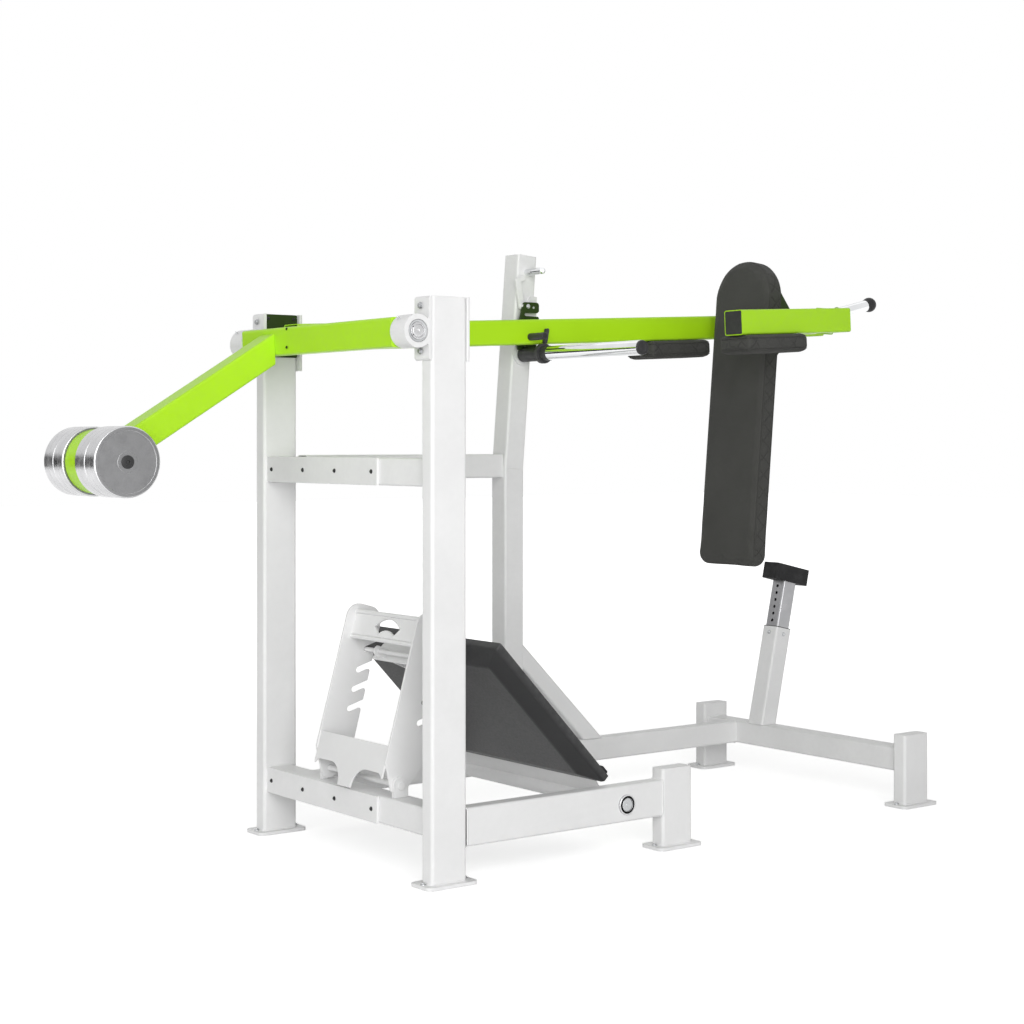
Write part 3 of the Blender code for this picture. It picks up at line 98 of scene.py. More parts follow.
class Nodes:
    """Small helper that adds and joins shader nodes of one material."""

    def __init__(self, name: str) -> None:
        """Start a material with a Principled shader.

        Args:
            name: Name of the material.
        """
        self.material = bpy.data.materials.new(name)
        self.material.use_nodes = True
        self.tree = self.material.node_tree
        self.shader = self.tree.nodes["Principled BSDF"]

    def add(self, kind: str, settings: Optional[dict] = None, **values: object) -> bpy.types.Node:
        """Add a node.

        Args:
            kind: Blender's type name without the ShaderNode prefix.
            settings: Properties of the node.
            **values: Input values, with underscores for spaces.

        Returns:
            The new node.
        """
        node = self.tree.nodes.new("ShaderNode" + kind)
        for key, value in (settings or {}).items():
            setattr(node, key, value)
        for key, value in values.items():
            node.inputs[key.replace("_", " ")].default_value = value
        return node

    def join(self, source: bpy.types.NodeSocket, target: bpy.types.NodeSocket) -> None:
        """Link two sockets.

        Args:
            source: Output socket.
            target: Input socket.
        """
        self.tree.links.new(source, target)

    def place(self) -> bpy.types.NodeSocket:
        """Return the object coordinates."""
        for node in self.tree.nodes:
            if node.bl_idname == "ShaderNodeTexCoord":
                return node.outputs["Object"]
        return self.add("TexCoord").outputs["Object"]

    def noise(self, scale: float, detail: float = 2.0, where: Optional[bpy.types.NodeSocket] = None,
              ) -> bpy.types.NodeSocket:
        """Add a noise texture.

        Args:
            scale: Waves per metre.
            detail: Octaves.
            where: Coordinates, the object's own when left out.

        Returns:
            The noise's factor.
        """
        node = self.add("TexNoise", Scale=scale, Detail=detail)
        self.join(where or self.place(), node.inputs["Vector"])
        return node.outputs["Fac"]

    def remap(self, value: bpy.types.NodeSocket, low: float, high: float, to_low: float, to_high: float,
              ) -> bpy.types.NodeSocket:
        """Map a value from one range to another, clamped.

        Args:
            value: The value.
            low: Start of its range.
            high: End of its range.
            to_low: What the start becomes.
            to_high: What the end becomes.

        Returns:
            The mapped value.
        """
        node = self.add("MapRange")
        self.join(value, node.inputs["Value"])
        for key, number in (("From Min", low), ("From Max", high), ("To Min", to_low), ("To Max", to_high)):
            node.inputs[key].default_value = number
        return node.outputs["Result"]

    def math(self, operation: str, first: object, second: object = 0.0) -> bpy.types.NodeSocket:
        """Combine two values.

        Args:
            operation: Blender's name of the operation.
            first: A socket or a number.
            second: A socket or a number.

        Returns:
            The result.
        """
        node = self.add("Math", {"operation": operation})
        for index, value in enumerate((first, second)):
            if isinstance(value, (int, float)):
                node.inputs[index].default_value = value
            else:
                self.join(value, node.inputs[index])
        return node.outputs["Value"]

    def blend(self, factor: bpy.types.NodeSocket, first: Colour, second: Colour) -> bpy.types.NodeSocket:
        """Blend two colours.

        Args:
            factor: 0 for the first, 1 for the second.
            first: First colour.
            second: Second colour.

        Returns:
            The blend.
        """
        node = self.add("Mix", {"data_type": "RGBA"})
        self.join(factor, node.inputs[0])
        node.inputs[6].default_value = (*first, 1.0)
        node.inputs[7].default_value = (*second, 1.0)
        return node.outputs[2]

    def bump(self, height: bpy.types.NodeSocket, distance: float, strength: float = 1.0,
             edge: float = 0.0) -> None:
        """Send a height to the shader's normal, over a softened edge.

        Args:
            height: Height from 0 to 1.
            distance: Depth in metres.
            strength: Share of the bump.
            edge: Radius of the edge rounding, none when 0.
        """
        node = self.add("Bump", Strength=strength, Distance=distance)
        self.join(height, node.inputs["Height"])
        if edge > 0.0:
            soft = self.add("Bevel", {"samples": 4}, Radius=edge)
            self.join(soft.outputs["Normal"], node.inputs["Normal"])
        self.join(node.outputs["Normal"], self.shader.inputs["Normal"])


@dataclass(frozen=True)
class Finish:
    """A material and the record's slot that it stands for."""

    material: bpy.types.Material
    slot: Slot


@dataclass(frozen=True)
class Coat:
    """Powder coat with orange peel, soft clouding and rubbed edges."""

    name: str
    slot: Slot
    colour: Colour
    roughness: float = 0.36
    peel: float = 0.00004
    clouding: float = 0.05
    rubbed: float = 0.12
    edge: float = 0.0012
    shine: float = 0.30

    def build(self) -> Finish:
        """Build the node material.

        Returns:
            The finish.
        """
        nodes = Nodes(self.name)
        cloud = nodes.noise(5.0, 3.0)
        darker = tuple(channel * (1.0 - self.clouding) for channel in self.colour)
        tone = nodes.blend(nodes.remap(cloud, 0.35, 0.65, 0.0, 1.0), darker, self.colour)
        point = nodes.add("NewGeometry").outputs["Pointiness"]
        worn = nodes.math("MULTIPLY", nodes.remap(point, 0.52, 0.60, 0.0, self.rubbed), nodes.noise(60.0, 4.0))
        mix = nodes.add("Mix", {"data_type": "RGBA"})
        nodes.join(worn, mix.inputs[0])
        nodes.join(tone, mix.inputs[6])
        mix.inputs[7].default_value = (0.30, 0.30, 0.30, 1.0)
        nodes.join(mix.outputs[2], nodes.shader.inputs["Base Color"])
        spread = nodes.remap(nodes.noise(140.0, 3.0), 0.3, 0.7, self.roughness - 0.04, self.roughness + 0.05)
        nodes.join(spread, nodes.shader.inputs["Roughness"])
        nodes.shader.inputs["Specular IOR Level"].default_value = self.shine
        nodes.bump(nodes.noise(620.0, 1.0), self.peel, 0.6, self.edge)
        return Finish(nodes.material, self.slot)


@dataclass(frozen=True)
class Metal:
    """Bare metal, brushed along an axis, turned round one, or polished."""

    name: str
    slot: Slot
    colour: Colour
    roughness: float
    grain: float = 0.0
    along: Optional[Point] = None
    centre: Optional[tuple[float, float]] = None

    def build(self) -> Finish:
        """Build the node material.

        Returns:
            The finish.
        """
        nodes = Nodes(self.name)
        nodes.shader.inputs["Metallic"].default_value = 1.0
        stain = nodes.remap(nodes.noise(18.0, 4.0), 0.3, 0.7, 0.0, 1.0)
        dull = tuple(channel * 0.90 for channel in self.colour)
        nodes.join(nodes.blend(stain, dull, self.colour), nodes.shader.inputs["Base Color"])
        smudge = nodes.remap(nodes.noise(45.0, 5.0), 0.35, 0.7, self.roughness * 0.8, self.roughness * 1.25)
        nodes.join(smudge, nodes.shader.inputs["Roughness"])
        if self.centre is not None:
            height = self.rings(nodes)
        elif self.along is not None:
            scale = nodes.add("Mapping", Scale=self.along)
            nodes.join(nodes.place(), scale.inputs["Vector"])
            height = nodes.noise(1.0, 2.0, scale.outputs["Vector"])
        else:
            height = nodes.noise(300.0, 2.0)
        nodes.bump(height, self.grain, 0.5, 0.0008)
        return Finish(nodes.material, self.slot)

    def rings(self, nodes: Nodes) -> bpy.types.NodeSocket:
        """Return fine lathe rings round an axis along Y.

        Args:
            nodes: The material's nodes.

        Returns:
            The height of the rings.
        """
        parts = nodes.add("SeparateXYZ")
        nodes.join(nodes.place(), parts.inputs[0])
        across = nodes.math("SUBTRACT", parts.outputs["X"], self.centre[0])
        up = nodes.math("SUBTRACT", parts.outputs["Z"], self.centre[1])
        squares = nodes.math("ADD", nodes.math("MULTIPLY", across, across), nodes.math("MULTIPLY", up, up))
        radius = nodes.math("SQRT", squares)
        vector = nodes.add("CombineXYZ")
        nodes.join(nodes.math("MULTIPLY", radius, 900.0), vector.inputs["X"])
        nodes.join(nodes.math("MULTIPLY", parts.outputs["Y"], 700.0), vector.inputs["Y"])
        return nodes.noise(1.0, 2.0, vector.outputs["Vector"])


@dataclass(frozen=True)
class Rubber:
    """Matt moulded rubber with a fine grain and dusty high spots."""

    name: str
    slot: Slot
    colour: Colour
    roughness: float = 0.72

    def build(self) -> Finish:
        """Build the node material.

        Returns:
            The finish.
        """
        nodes = Nodes(self.name)
        dust = nodes.remap(nodes.noise(24.0, 5.0), 0.45, 0.75, 0.0, 1.0)
        pale = tuple(channel * 1.5 + 0.008 for channel in self.colour)
        nodes.join(nodes.blend(dust, self.colour, pale), nodes.shader.inputs["Base Color"])
        rough = nodes.remap(nodes.noise(200.0, 2.0), 0.3, 0.7, self.roughness - 0.08, self.roughness + 0.1)
        nodes.join(rough, nodes.shader.inputs["Roughness"])
        nodes.shader.inputs["Specular IOR Level"].default_value = 0.22
        grain = nodes.add("TexVoronoi", {"feature": "SMOOTH_F1"}, Scale=650.0)
        nodes.join(nodes.place(), grain.inputs["Vector"])
        nodes.bump(grain.outputs["Distance"], 0.00012, 0.7, 0.0015)
        return Finish(nodes.material, self.slot)


@dataclass(frozen=True)
class Cover:
    """Woven upholstery cover: a diagonal twill, quilted in diamonds on its side panel, with the quilted grooves
    darkened as painted shade.
    """

    name: str
    slot: Slot
    colour: Colour
    thread: float = 0.0011
    diamond: float = 0.042

    def build(self) -> Finish:
        """Build the node material.

        Returns:
            The finish.
        """
        nodes = Nodes(self.name)
        parts = nodes.add("SeparateXYZ")
        nodes.join(nodes.place(), parts.inputs[0])
        flat = nodes.math("ADD", parts.outputs["X"], parts.outputs["Y"])
        first = self.stripes(nodes, flat, parts.outputs["Z"], 1.0, self.thread)
        second = self.stripes(nodes, flat, parts.outputs["Z"], -1.0, self.thread * 1.7)
        weave = nodes.math("MAXIMUM", first, nodes.math("MULTIPLY", second, 0.7))
        left = self.stripes(nodes, flat, parts.outputs["Z"], 1.0, self.diamond)
        right = self.stripes(nodes, flat, parts.outputs["Z"], -1.0, self.diamond)
        crossing = nodes.math("MAXIMUM", nodes.remap(left, 0.94, 1.0, 0.0, 1.0),
                              nodes.remap(right, 0.94, 1.0, 0.0, 1.0))
        side = nodes.add("Attribute", {"attribute_name": "side_panel"}).outputs["Fac"]
        quilt_groove_and_shade = nodes.math("MULTIPLY", crossing, side)
        cloud = nodes.remap(nodes.noise(9.0, 4.0), 0.3, 0.7, 0.0, 1.0)
        dark = tuple(channel * 0.82 for channel in self.colour)
        tone = nodes.blend(cloud, dark, self.colour)
        # painted shade: the quilted grooves are darkened in colour as well as sunk by the bump
        shade = nodes.add("Mix", {"data_type": "RGBA", "blend_type": "MULTIPLY"})
        nodes.join(nodes.math("MULTIPLY", quilt_groove_and_shade, 0.45), shade.inputs[0])
        nodes.join(tone, shade.inputs[6])
        shade.inputs[7].default_value = (0.25, 0.25, 0.25, 1.0)
        fibre = nodes.add("Mix", {"data_type": "RGBA"})
        nodes.join(nodes.math("MULTIPLY", weave, 0.16), fibre.inputs[0])
        nodes.join(shade.outputs[2], fibre.inputs[6])
        fibre.inputs[7].default_value = (*(channel * 1.9 for channel in self.colour), 1.0)
        nodes.join(fibre.outputs[2], nodes.shader.inputs["Base Color"])
        nodes.join(nodes.remap(weave, 0.0, 1.0, 0.9, 0.72), nodes.shader.inputs["Roughness"])
        nodes.shader.inputs["Specular IOR Level"].default_value = 0.16
        nodes.shader.inputs["Sheen Weight"].default_value = 0.05
        nodes.shader.inputs["Sheen Roughness"].default_value = 0.5
        height = nodes.math("SUBTRACT", nodes.math("MULTIPLY", weave, 0.12), quilt_groove_and_shade)
        nodes.bump(nodes.math("ADD", height, 1.0), 0.0020, 0.8)
        return Finish(nodes.material, self.slot)

    @staticmethod
    def stripes(nodes: Nodes, flat: bpy.types.NodeSocket, up: bpy.types.NodeSocket, way: float,
                pitch: float) -> bpy.types.NodeSocket:
        """Draw diagonal ridges.

        Args:
            nodes: The material's nodes.
            flat: Distance across the cover.
            up: Height.
            way: 1 or -1, the way they lean.
            pitch: Distance from ridge to ridge.

        Returns:
            0 in the gaps and 1 on the crests.
        """
        slant = nodes.math("ADD", flat, nodes.math("MULTIPLY", up, way))
        wave = nodes.math("SINE", nodes.math("MULTIPLY", slant, math.tau / (pitch * math.sqrt(2.0))))
        return nodes.math("ADD", nodes.math("MULTIPLY", wave, 0.5), 0.5)


@dataclass(frozen=True)
class Palette:
    """Every finish of the machine, built once."""

    white: Finish
    lime: Finish
    green: Finish
    black: Finish
    chrome: Finish
    disc: Finish
    disc_face: Finish
    stem: Finish
    steel: Finish
    zinc: Finish
    rubber: Finish
    cover: Finish
    thread: Finish

    @classmethod
    def make(cls, disc_axis: tuple[float, float]) -> "Palette":
        """Build the materials.

        Args:
            disc_axis: X and Z of the counterweights' axis, which their lathe rings go round.

        Returns:
            The palette.
        """
        bright = (0.80, 0.81, 0.82)
        return cls(
            white=Coat("WhiteCoat", Slot.WHITE, (0.84, 0.84, 0.84), 0.38, rubbed=0.10).build(),
            lime=Coat("LimeCoat", Slot.LIME, (0.44, 0.80, 0.012), 0.34, clouding=0.03, shine=0.20).build(),
            # dark green: painted shade, a darkened copy of the lime for lime paint and its reflections where they
            # read dark
            green=Coat("DarkGreenShadeCoat", Slot.GREEN, (0.018, 0.042, 0.0), 0.42, shine=0.16).build(),
            black=Coat("BlackCoat", Slot.BLACK, (0.021, 0.021, 0.022), 0.45, 0.00009, 0.25, 0.2,
                       shine=0.28).build(),
            chrome=Metal("Chrome", Slot.CHROME, bright, 0.09, 0.00001).build(),
            disc=Metal("TurnedSteel", Slot.STEEL, (0.60, 0.60, 0.61), 0.30, 0.00005, centre=disc_axis).build(),
            # the discs' flat faces get a darker copy of the same steel than their rims
            disc_face=Metal("FlatsDarkerSteel", Slot.STEEL, (0.235, 0.235, 0.24), 0.42, 0.00009, centre=disc_axis).build(),
            stem=Metal("DrawnSteel", Slot.STEEL, (0.36, 0.36, 0.37), 0.34, 0.00005, (900.0, 900.0, 14.0)).build(),
            steel=Metal("Steel", Slot.STEEL, (0.62, 0.62, 0.63), 0.26, 0.00003).build(),
            zinc=Metal("Zinc", Slot.STEEL, (0.55, 0.56, 0.57), 0.33, 0.00006).build(),
            rubber=Rubber("Rubber", Slot.RUBBER, (0.021, 0.021, 0.022)).build(),
            cover=Cover("WovenCover", Slot.COVER, (0.062, 0.062, 0.058)).build(),
            thread=Rubber("Thread", Slot.COVER, (0.085, 0.085, 0.080), 0.85).build(),
        )


# Mesh tools


class Mesh:
    """A bmesh in the row frame that becomes one finished piece."""

    def __init__(self) -> None:
        """Start empty."""
        self.work = bmesh.new()

    def block(self, centre: Point, size: Point, round_by: float, segments: int = 2) -> "Mesh":
        """Add a block with rounded edges.

        Args:
            centre: Its middle.
            size: Its three lengths.
            round_by: Edge radius.
            segments: Steps round an edge.

        Returns:
            This mesh.
        """
        part = bmesh.new()
        bmesh.ops.create_cube(part, size=1.0)
        bmesh.ops.scale(part, vec=Vector(size), verts=part.verts)
        bmesh.ops.bevel(part, geom=part.edges[:], offset=round_by, segments=segments, profile=0.5,
                        affect='EDGES', material=-1)
        return self.take(part, Matrix.Translation(Vector(centre)))

    def take(self, part: bmesh.types.BMesh, place: Optional[Matrix] = None) -> "Mesh":
        """Add a finished part and free it.

        Args:
            part: The part's own mesh.
            place: Place of its axes.

        Returns:
            This mesh.
        """
        if place is not None:
            bmesh.ops.transform(part, matrix=place, verts=part.verts)
        data = bpy.data.meshes.new("part")
        part.to_mesh(data)
        part.free()
        self.work.from_mesh(data)
        bpy.data.meshes.remove(data)
        return self

    def lathe(self, profile: Sequence[Point], axis: Matrix, steps: int = 32) -> "Mesh":
        """Spin a profile of (radius, height) round an axis.

        Args:
            profile: Points from one end of the axis to the other.
            axis: Place of the axis, its local Z along it.
            steps: Steps of the turn.

        Returns:
            This mesh.
        """
        part = bmesh.new()
        verts = [part.verts.new((radius, 0.0, height)) for radius, height in profile]
        edges = [part.edges.new(pair) for pair in zip(verts, verts[1:])]
        bmesh.ops.spin(part, geom=verts + edges, cent=(0, 0, 0), axis=(0, 0, 1), angle=math.tau, steps=steps,
                       use_merge=True, use_duplicate=False)
        bmesh.ops.remove_doubles(part, verts=part.verts, dist=1e-7)
        bmesh.ops.recalc_face_normals(part, faces=part.faces)
        return self.take(part, axis)

    def tube(self, path: Sequence[Point], radius: float, sides: int = 10, closed: bool = False) -> "Mesh":
        """Sweep a round section along a path.

        Args:
            path: Points of the centreline.
            radius: Radius of the section.
            sides: Sides of the section.
            closed: Whether the path's ends join.

        Returns:
            This mesh.
        """
        points = [Vector(point) for point in path]
        count = len(points)
        part = bmesh.new()
        rings = []
        side = None
        for index, point in enumerate(points):
            ahead = points[(index + 1) % count] if closed or index < count - 1 else point
            behind = points[index - 1] if closed or index else point
            along = (ahead - behind).normalized()
            if side is None:
                side = along.orthogonal().normalized()
            side = (side - along * side.dot(along)).normalized()
            up = along.cross(side)
            place = Matrix.Translation(point) @ Matrix((side, up, along)).transposed().to_4x4()
            rings.append(circle(part, sides, radius, place))
        skin(part, rings, closed)
        return self.take(part)

    def plate(self, outline: Sequence[Point], thick: float, place: Matrix,
              holes: Sequence[Sequence[Point]] = (), round_by: float = 0.0008) -> "Mesh":
        """Add a flat plate from an outline in its local XY plane, with holes.

        Args:
            outline: Outer points.
            thick: Thickness along local Z, centred.
            place: Place of the local axes.
            holes: Outlines cut through it.
            round_by: Edge radius, none when 0.

        Returns:
            This mesh.
        """
        part = bmesh.new()
        for points in (outline, *holes):
            verts = [part.verts.new((across, up, -thick / 2)) for across, up in points]
            for first, second in zip(verts, verts[1:] + verts[:1]):
                part.edges.new((first, second))
        bmesh.ops.triangle_fill(part, edges=part.edges[:], use_beauty=True, normal=(0, 0, -1))
        bmesh.ops.dissolve_limit(part, angle_limit=0.01, verts=part.verts[:],
                                 edges=[edge for edge in part.edges if len(edge.link_faces) == 2])
        raised = bmesh.ops.extrude_face_region(part, geom=part.faces[:])
        top = [item for item in raised["geom"] if isinstance(item, bmesh.types.BMVert)]
        bmesh.ops.translate(part, vec=(0, 0, thick), verts=top)
        bmesh.ops.recalc_face_normals(part, faces=part.faces)
        if round_by > 0.0:
            rims = [edge for edge in part.edges if edge.calc_face_angle(0.0) > 1.2]
            bmesh.ops.bevel(part, geom=rims, offset=round_by, segments=2, profile=0.5, affect='EDGES', material=-1)
        return self.take(part, place)

    def settle(self, place: Matrix) -> None:
        """Move the whole mesh from its own axes into the row frame."""
        bmesh.ops.transform(self.work, matrix=place, verts=self.work.verts)

    def finish(self, name: str, finish: Finish, body: Body) -> bpy.types.Object:
        """Turn the mesh into a piece that rides on a body.

        Args:
            name: Name of the piece.
            finish: Its finish.
            body: The body that carries it.

        Returns:
            The piece.
        """
        data = bpy.data.meshes.new(name)
        self.work.to_mesh(data)
        self.work.free()
        piece = bpy.data.objects.new(name, data)
        bpy.context.scene.collection.objects.link(piece)
        data.materials.append(finish.material)
        data.shade_smooth()
        data.set_sharp_from_angle(angle=SHARP)
        harden(piece)
        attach(piece, body.value)
        LOG.info("piece %s: %d faces on %s", name, len(data.polygons), body.value)
        return piece


def circle(part: bmesh.types.BMesh, sides: int, radius: float, place: Matrix) -> list[bmesh.types.BMEdge]:
    """Draw one open circle.

    Args:
        part: Mesh that takes it.
        sides: Its sides.
        radius: Its radius.
        place: Its axes, local Z square to it.

    Returns:
        Its edges in order.
    """
    verts = bmesh.ops.create_circle(part, segments=sides, radius=radius)["verts"]
    bmesh.ops.transform(part, matrix=place, verts=verts)
    return [part.edges.get(pair) for pair in zip(verts, verts[1:] + verts[:1])]


def skin(part: bmesh.types.BMesh, rings: Sequence[list[bmesh.types.BMEdge]], closed: bool = False) -> None:
    """Join a row of circles into a tube, and cap its ends unless it is closed.

    Args:
        part: Mesh that holds the circles.
        rings: Edges of each circle.
        closed: Whether the last circle joins the first.
    """
    pairs = list(zip(rings, rings[1:])) + ([(rings[-1], rings[0])] if closed else [])
    for first, second in pairs:
        bmesh.ops.bridge_loops(part, edges=first + second)
    if not closed:
        bmesh.ops.holes_fill(part, edges=rings[0] + rings[-1], sides=len(rings[0]))
    bmesh.ops.recalc_face_normals(part, faces=part.faces)


def bake(piece: bpy.types.Object) -> None:
    """Apply the piece's modifiers to its mesh.

    Args:
        piece: The piece.
    """
    graph = bpy.context.evaluated_depsgraph_get()
    data = bpy.data.meshes.new_from_object(piece.evaluated_get(graph))
    data.name = piece.name
    piece.modifiers.clear()
    piece.data = data


def harden(piece: bpy.types.Object) -> None:
    """Weight the normals by face area, so that flats stay flat beside their rounded edges.

    Args:
        piece: The piece.
    """
    weigh = piece.modifiers.new("weigh", 'WEIGHTED_NORMAL')
    weigh.mode = 'FACE_AREA'
    weigh.weight = 100
    weigh.keep_sharp = True
    bake(piece)


def facing(direction: Point, at: Point) -> Matrix:
    """Place local Z along a direction at a point."""
    return Matrix.Translation(Vector(at)) @ Vector(direction).to_track_quat('Z', 'Y').to_matrix().to_4x4()


def middle_of(node: str) -> Vector:
    """Return the middle of a CAD node's box."""
    low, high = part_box(node)
    return (low + high) / 2


def on_arm(along: float, up: float) -> Vector:
    """Return a point on the lime arm's side view.

    Args:
        along: Distance from the pivot along the tilted arm.
        up: Distance square to the arm.

    Returns:
        The point, at Y 0.
    """
    hub = middle_of("pivot_shaft")
    turned = Matrix.Rotation(-ARM_TILT, 3, 'Y') @ Vector((along, 0.0, up))
    return Vector((hub.x + turned.x, 0.0, hub.z + turned.z))


def bar(radius: float, length: float, chamfer: float) -> Profile:
    """Return the profile of a round bar with chamfered ends."""
    return [(0.0, 0.0), (radius - chamfer, 0.0), (radius, chamfer), (radius, length - chamfer),
            (radius - chamfer, length), (0.0, length)]


def hoop(inner: float, outer: float, rise: float, outside: Point, inside: Point,
         foot: Point = (0.0, 0.0)) -> Profile:
    """Return the profile of a ring with its edges cut off.

    Args:
        inner: Bore radius.
        outer: Outer radius.
        rise: Height.
        outside: Cut at the outer top edge, as (inward, down).
        inside: Cut at the inner top edge, as (outward, down).
        foot: Cut at the outer foot edge, as (inward, up).

    Returns:
        Points of (radius, height).
    """
    points = [(inner, 0.0), (outer - foot[0], 0.0)]
    if foot[1] > 0.0:
        points.append((outer, foot[1]))
    points += [(outer, rise - outside[1]), (outer - outside[0], rise), (inner + inside[0], rise)]
    return points + [(inner, rise - inside[1]), (inner, 0.0)]


def arc(centre: tuple[float, float], radius: float, start: float, end: float, steps: int) -> Profile:
    """Return points of an arc.

    Args:
        centre: Its centre.
        radius: Its radius.
        start: First angle in degrees.
        end: Last angle in degrees.
        steps: Steps between them.

    Returns:
        The points, both ends included.
    """
    points = []
    for index in range(steps + 1):
        angle = math.radians(start + (end - start) * index / steps)
        points.append((centre[0] + radius * math.cos(angle), centre[1] + radius * math.sin(angle)))
    return points


def rounded_box(width: float, height: float, corner: float, steps: int = 5) -> Profile:
    """Return a centred rectangle with round corners.

    Args:
        width: Its width.
        height: Its height.
        corner: Corner radius.
        steps: Steps round a corner.

    Returns:
        Its points.
    """
    x, y = width / 2 - corner, height / 2 - corner
    points: Profile = []
    for centre, start in (((x, y), 0.0), ((-x, y), 90.0), ((-x, -y), 180.0), ((x, -y), 270.0)):
        points += arc(centre, corner, start, start + 90.0, steps)
    return points


@dataclass(frozen=True)
class Screw:
    """Sizes of one kind of screw head with its washer."""

    head: float = 0.0055
    rise: float = 0.0040
    washer: float = 0.0080
    socket: float = 0.0024

    def add(self, mesh: Mesh, at: Point, out: Point) -> None:
        """Add a domed socket head on a washer.

        Args:
            mesh: Mesh that takes it.
            at: Point on the face it sits on.
            out: Direction away from the face.
        """
        thin = 0.0012
        dome = arc((self.head - 0.0018, thin + self.rise - 0.0018), 0.0018, 0.0, 90.0, 3)
        profile = [(0.0, 0.0), (self.washer, 0.0), (self.washer, thin), (self.head, thin)] + dome
        profile += [(self.socket, thin + self.rise), (self.socket, thin + self.rise * 0.4)]
        profile += [(0.0, thin + self.rise * 0.35)]
        mesh.lathe(profile, facing(out, at), 20)


@dataclass(frozen=True)
class HexBolt:
    """Sizes of one kind of hexagon bolt with its washer."""

    across: float = 0.0150
    rise: float = 0.0060
    washer: float = 0.0120

    def add(self, mesh: Mesh, at: Point, out: Point) -> None:
        """Add a chamfered hexagon on a washer.

        Args:
            mesh: Mesh that takes it.
            at: Point on the face it sits on.
            out: Direction away from the face.
        """
        thin = 0.0018
        place = facing(out, at)
        mesh.lathe([(0.0, 0.0), (self.washer, 0.0), (self.washer, thin - 0.0004), (self.washer - 0.0004, thin),
                    (0.0, thin)], place, 24)
        radius = self.across / math.sqrt(3.0)
        rim = [(radius * math.cos(math.tau * i / 6), radius * math.sin(math.tau * i / 6)) for i in range(6)]
        lifted = place @ Matrix.Translation((0.0, 0.0, thin + self.rise / 2))
        mesh.plate(rim, self.rise, lifted, round_by=0.0008)


@dataclass(frozen=True)
class Bead:
    """A weld bead with its overlapping ripples."""

    radius: float = 0.0026
    ripple: float = 0.0045
    trough: float = 0.82

    def add(self, mesh: Mesh, path: Sequence[Point], closed: bool = True) -> None:
        """Lay the bead along straight legs.

        Args:
            mesh: Mesh that takes it.
            path: Corners of the seam.
            closed: Whether the seam goes all round.
        """
        corners = [Vector(point) for point in path]
        legs = list(zip(corners, corners[1:] + corners[:1])) if closed else list(zip(corners, corners[1:]))
        for start, end in legs:
            count = max(2, round((end - start).length / self.ripple))
            part = bmesh.new()
            rings = []
            along = (end - start).normalized()
            for index in range(count * 2 + 1):
                swell = self.radius * (1.0 if index % 2 else self.trough)
                rings.append(circle(part, 8, swell, facing(along, start.lerp(end, index / (count * 2)))))
            skin(part, rings)
            mesh.take(part)


def seam_round(low: Point, high: Point, axis: int, at: float, corner: float = 0.006) -> list[Vector]:
    """Return the corners of a tube's outline where it meets a plane.

    Args:
        low: Low corner of the tube's box.
        high: High corner of the tube's box.
        axis: Axis that the plane is square to.
        at: Place of the plane on it.
        corner: Corner radius, cut off as one step.

    Returns:
        Eight points round the tube.
    """
    first, second = [index for index in range(3) if index != axis]
    points = []
    a0, a1, b0, b1 = low[first], high[first], low[second], high[second]
    for a, b in ((a0 + corner, b0), (a1 - corner, b0), (a1, b0 + corner), (a1, b1 - corner),
                 (a1 - corner, b1), (a0 + corner, b1), (a0, b1 - corner), (a0, b0 + corner)):
        point = [0.0, 0.0, 0.0]
        point[axis], point[first], point[second] = at, a, b
        points.append(Vector(point))
    return points


# Sub-assemblies


class Assembly:
    """A group of pieces that share the machine's finishes."""

    def __init__(self, palette: Palette) -> None:
        """Keep the finishes.

        Args:
            palette: The machine's finishes.
        """
        self.palette = palette


class Carried(Assembly):
    """Node materials for the CAD nodes that the scene shows as they are."""

    GROUPS = {
        "lime": ("axle_beam", "carriage_crossbeam", "main_arm", "near_beam", "weight_arm"),
        # these nodes take the dark green painted shade
        "green": ("back_bracket", "catch_hook", "catch_plate"),
        "black": ("horn_collar", "collar_lever", "weight_bolt"),
        "chrome": ("handle_near", "pivot_shaft", "plate_horn", "stop_peg"),
        "steel": ("bearing_far", "bearing_near", "footplate_axle"),
        "stem": ("bumper_stem",),
        "disc": ("weight_disc_1", "weight_disc_2", "weight_disc_3", "weight_disc_4"),
        "rubber": ("bumper_block", "heel_bar"),
    }

    def build(self) -> None:
        """Give every carried-over node its node material."""
        chosen = {node: group for group, nodes in self.GROUPS.items() for node in nodes}
        for name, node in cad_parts.items():
            material = getattr(self.palette, chosen.get(name, "white")).material
            node.data.materials.clear()
            node.data.materials.append(material)
        LOG.info("carried %d nodes", len(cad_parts))


@dataclass(frozen=True)
class PadSizes:
    """Sizes of a pad in its own axes: X through it, Y across, Z along."""

    name: str
    node: str
    width: float
    length: float
    thick: float
    foot_corner: float
    head_corner: float
    voxel: float
    cap: float
    fill: float = 0.85
    start: float = 0.0035
    front_seam: float = 0.011
    back_seam: float = 0.010
    seam_reach: float = 0.006
    seam_depth: float = 0.0022
    welt: float = 0.0015
    row: float = 0.0055


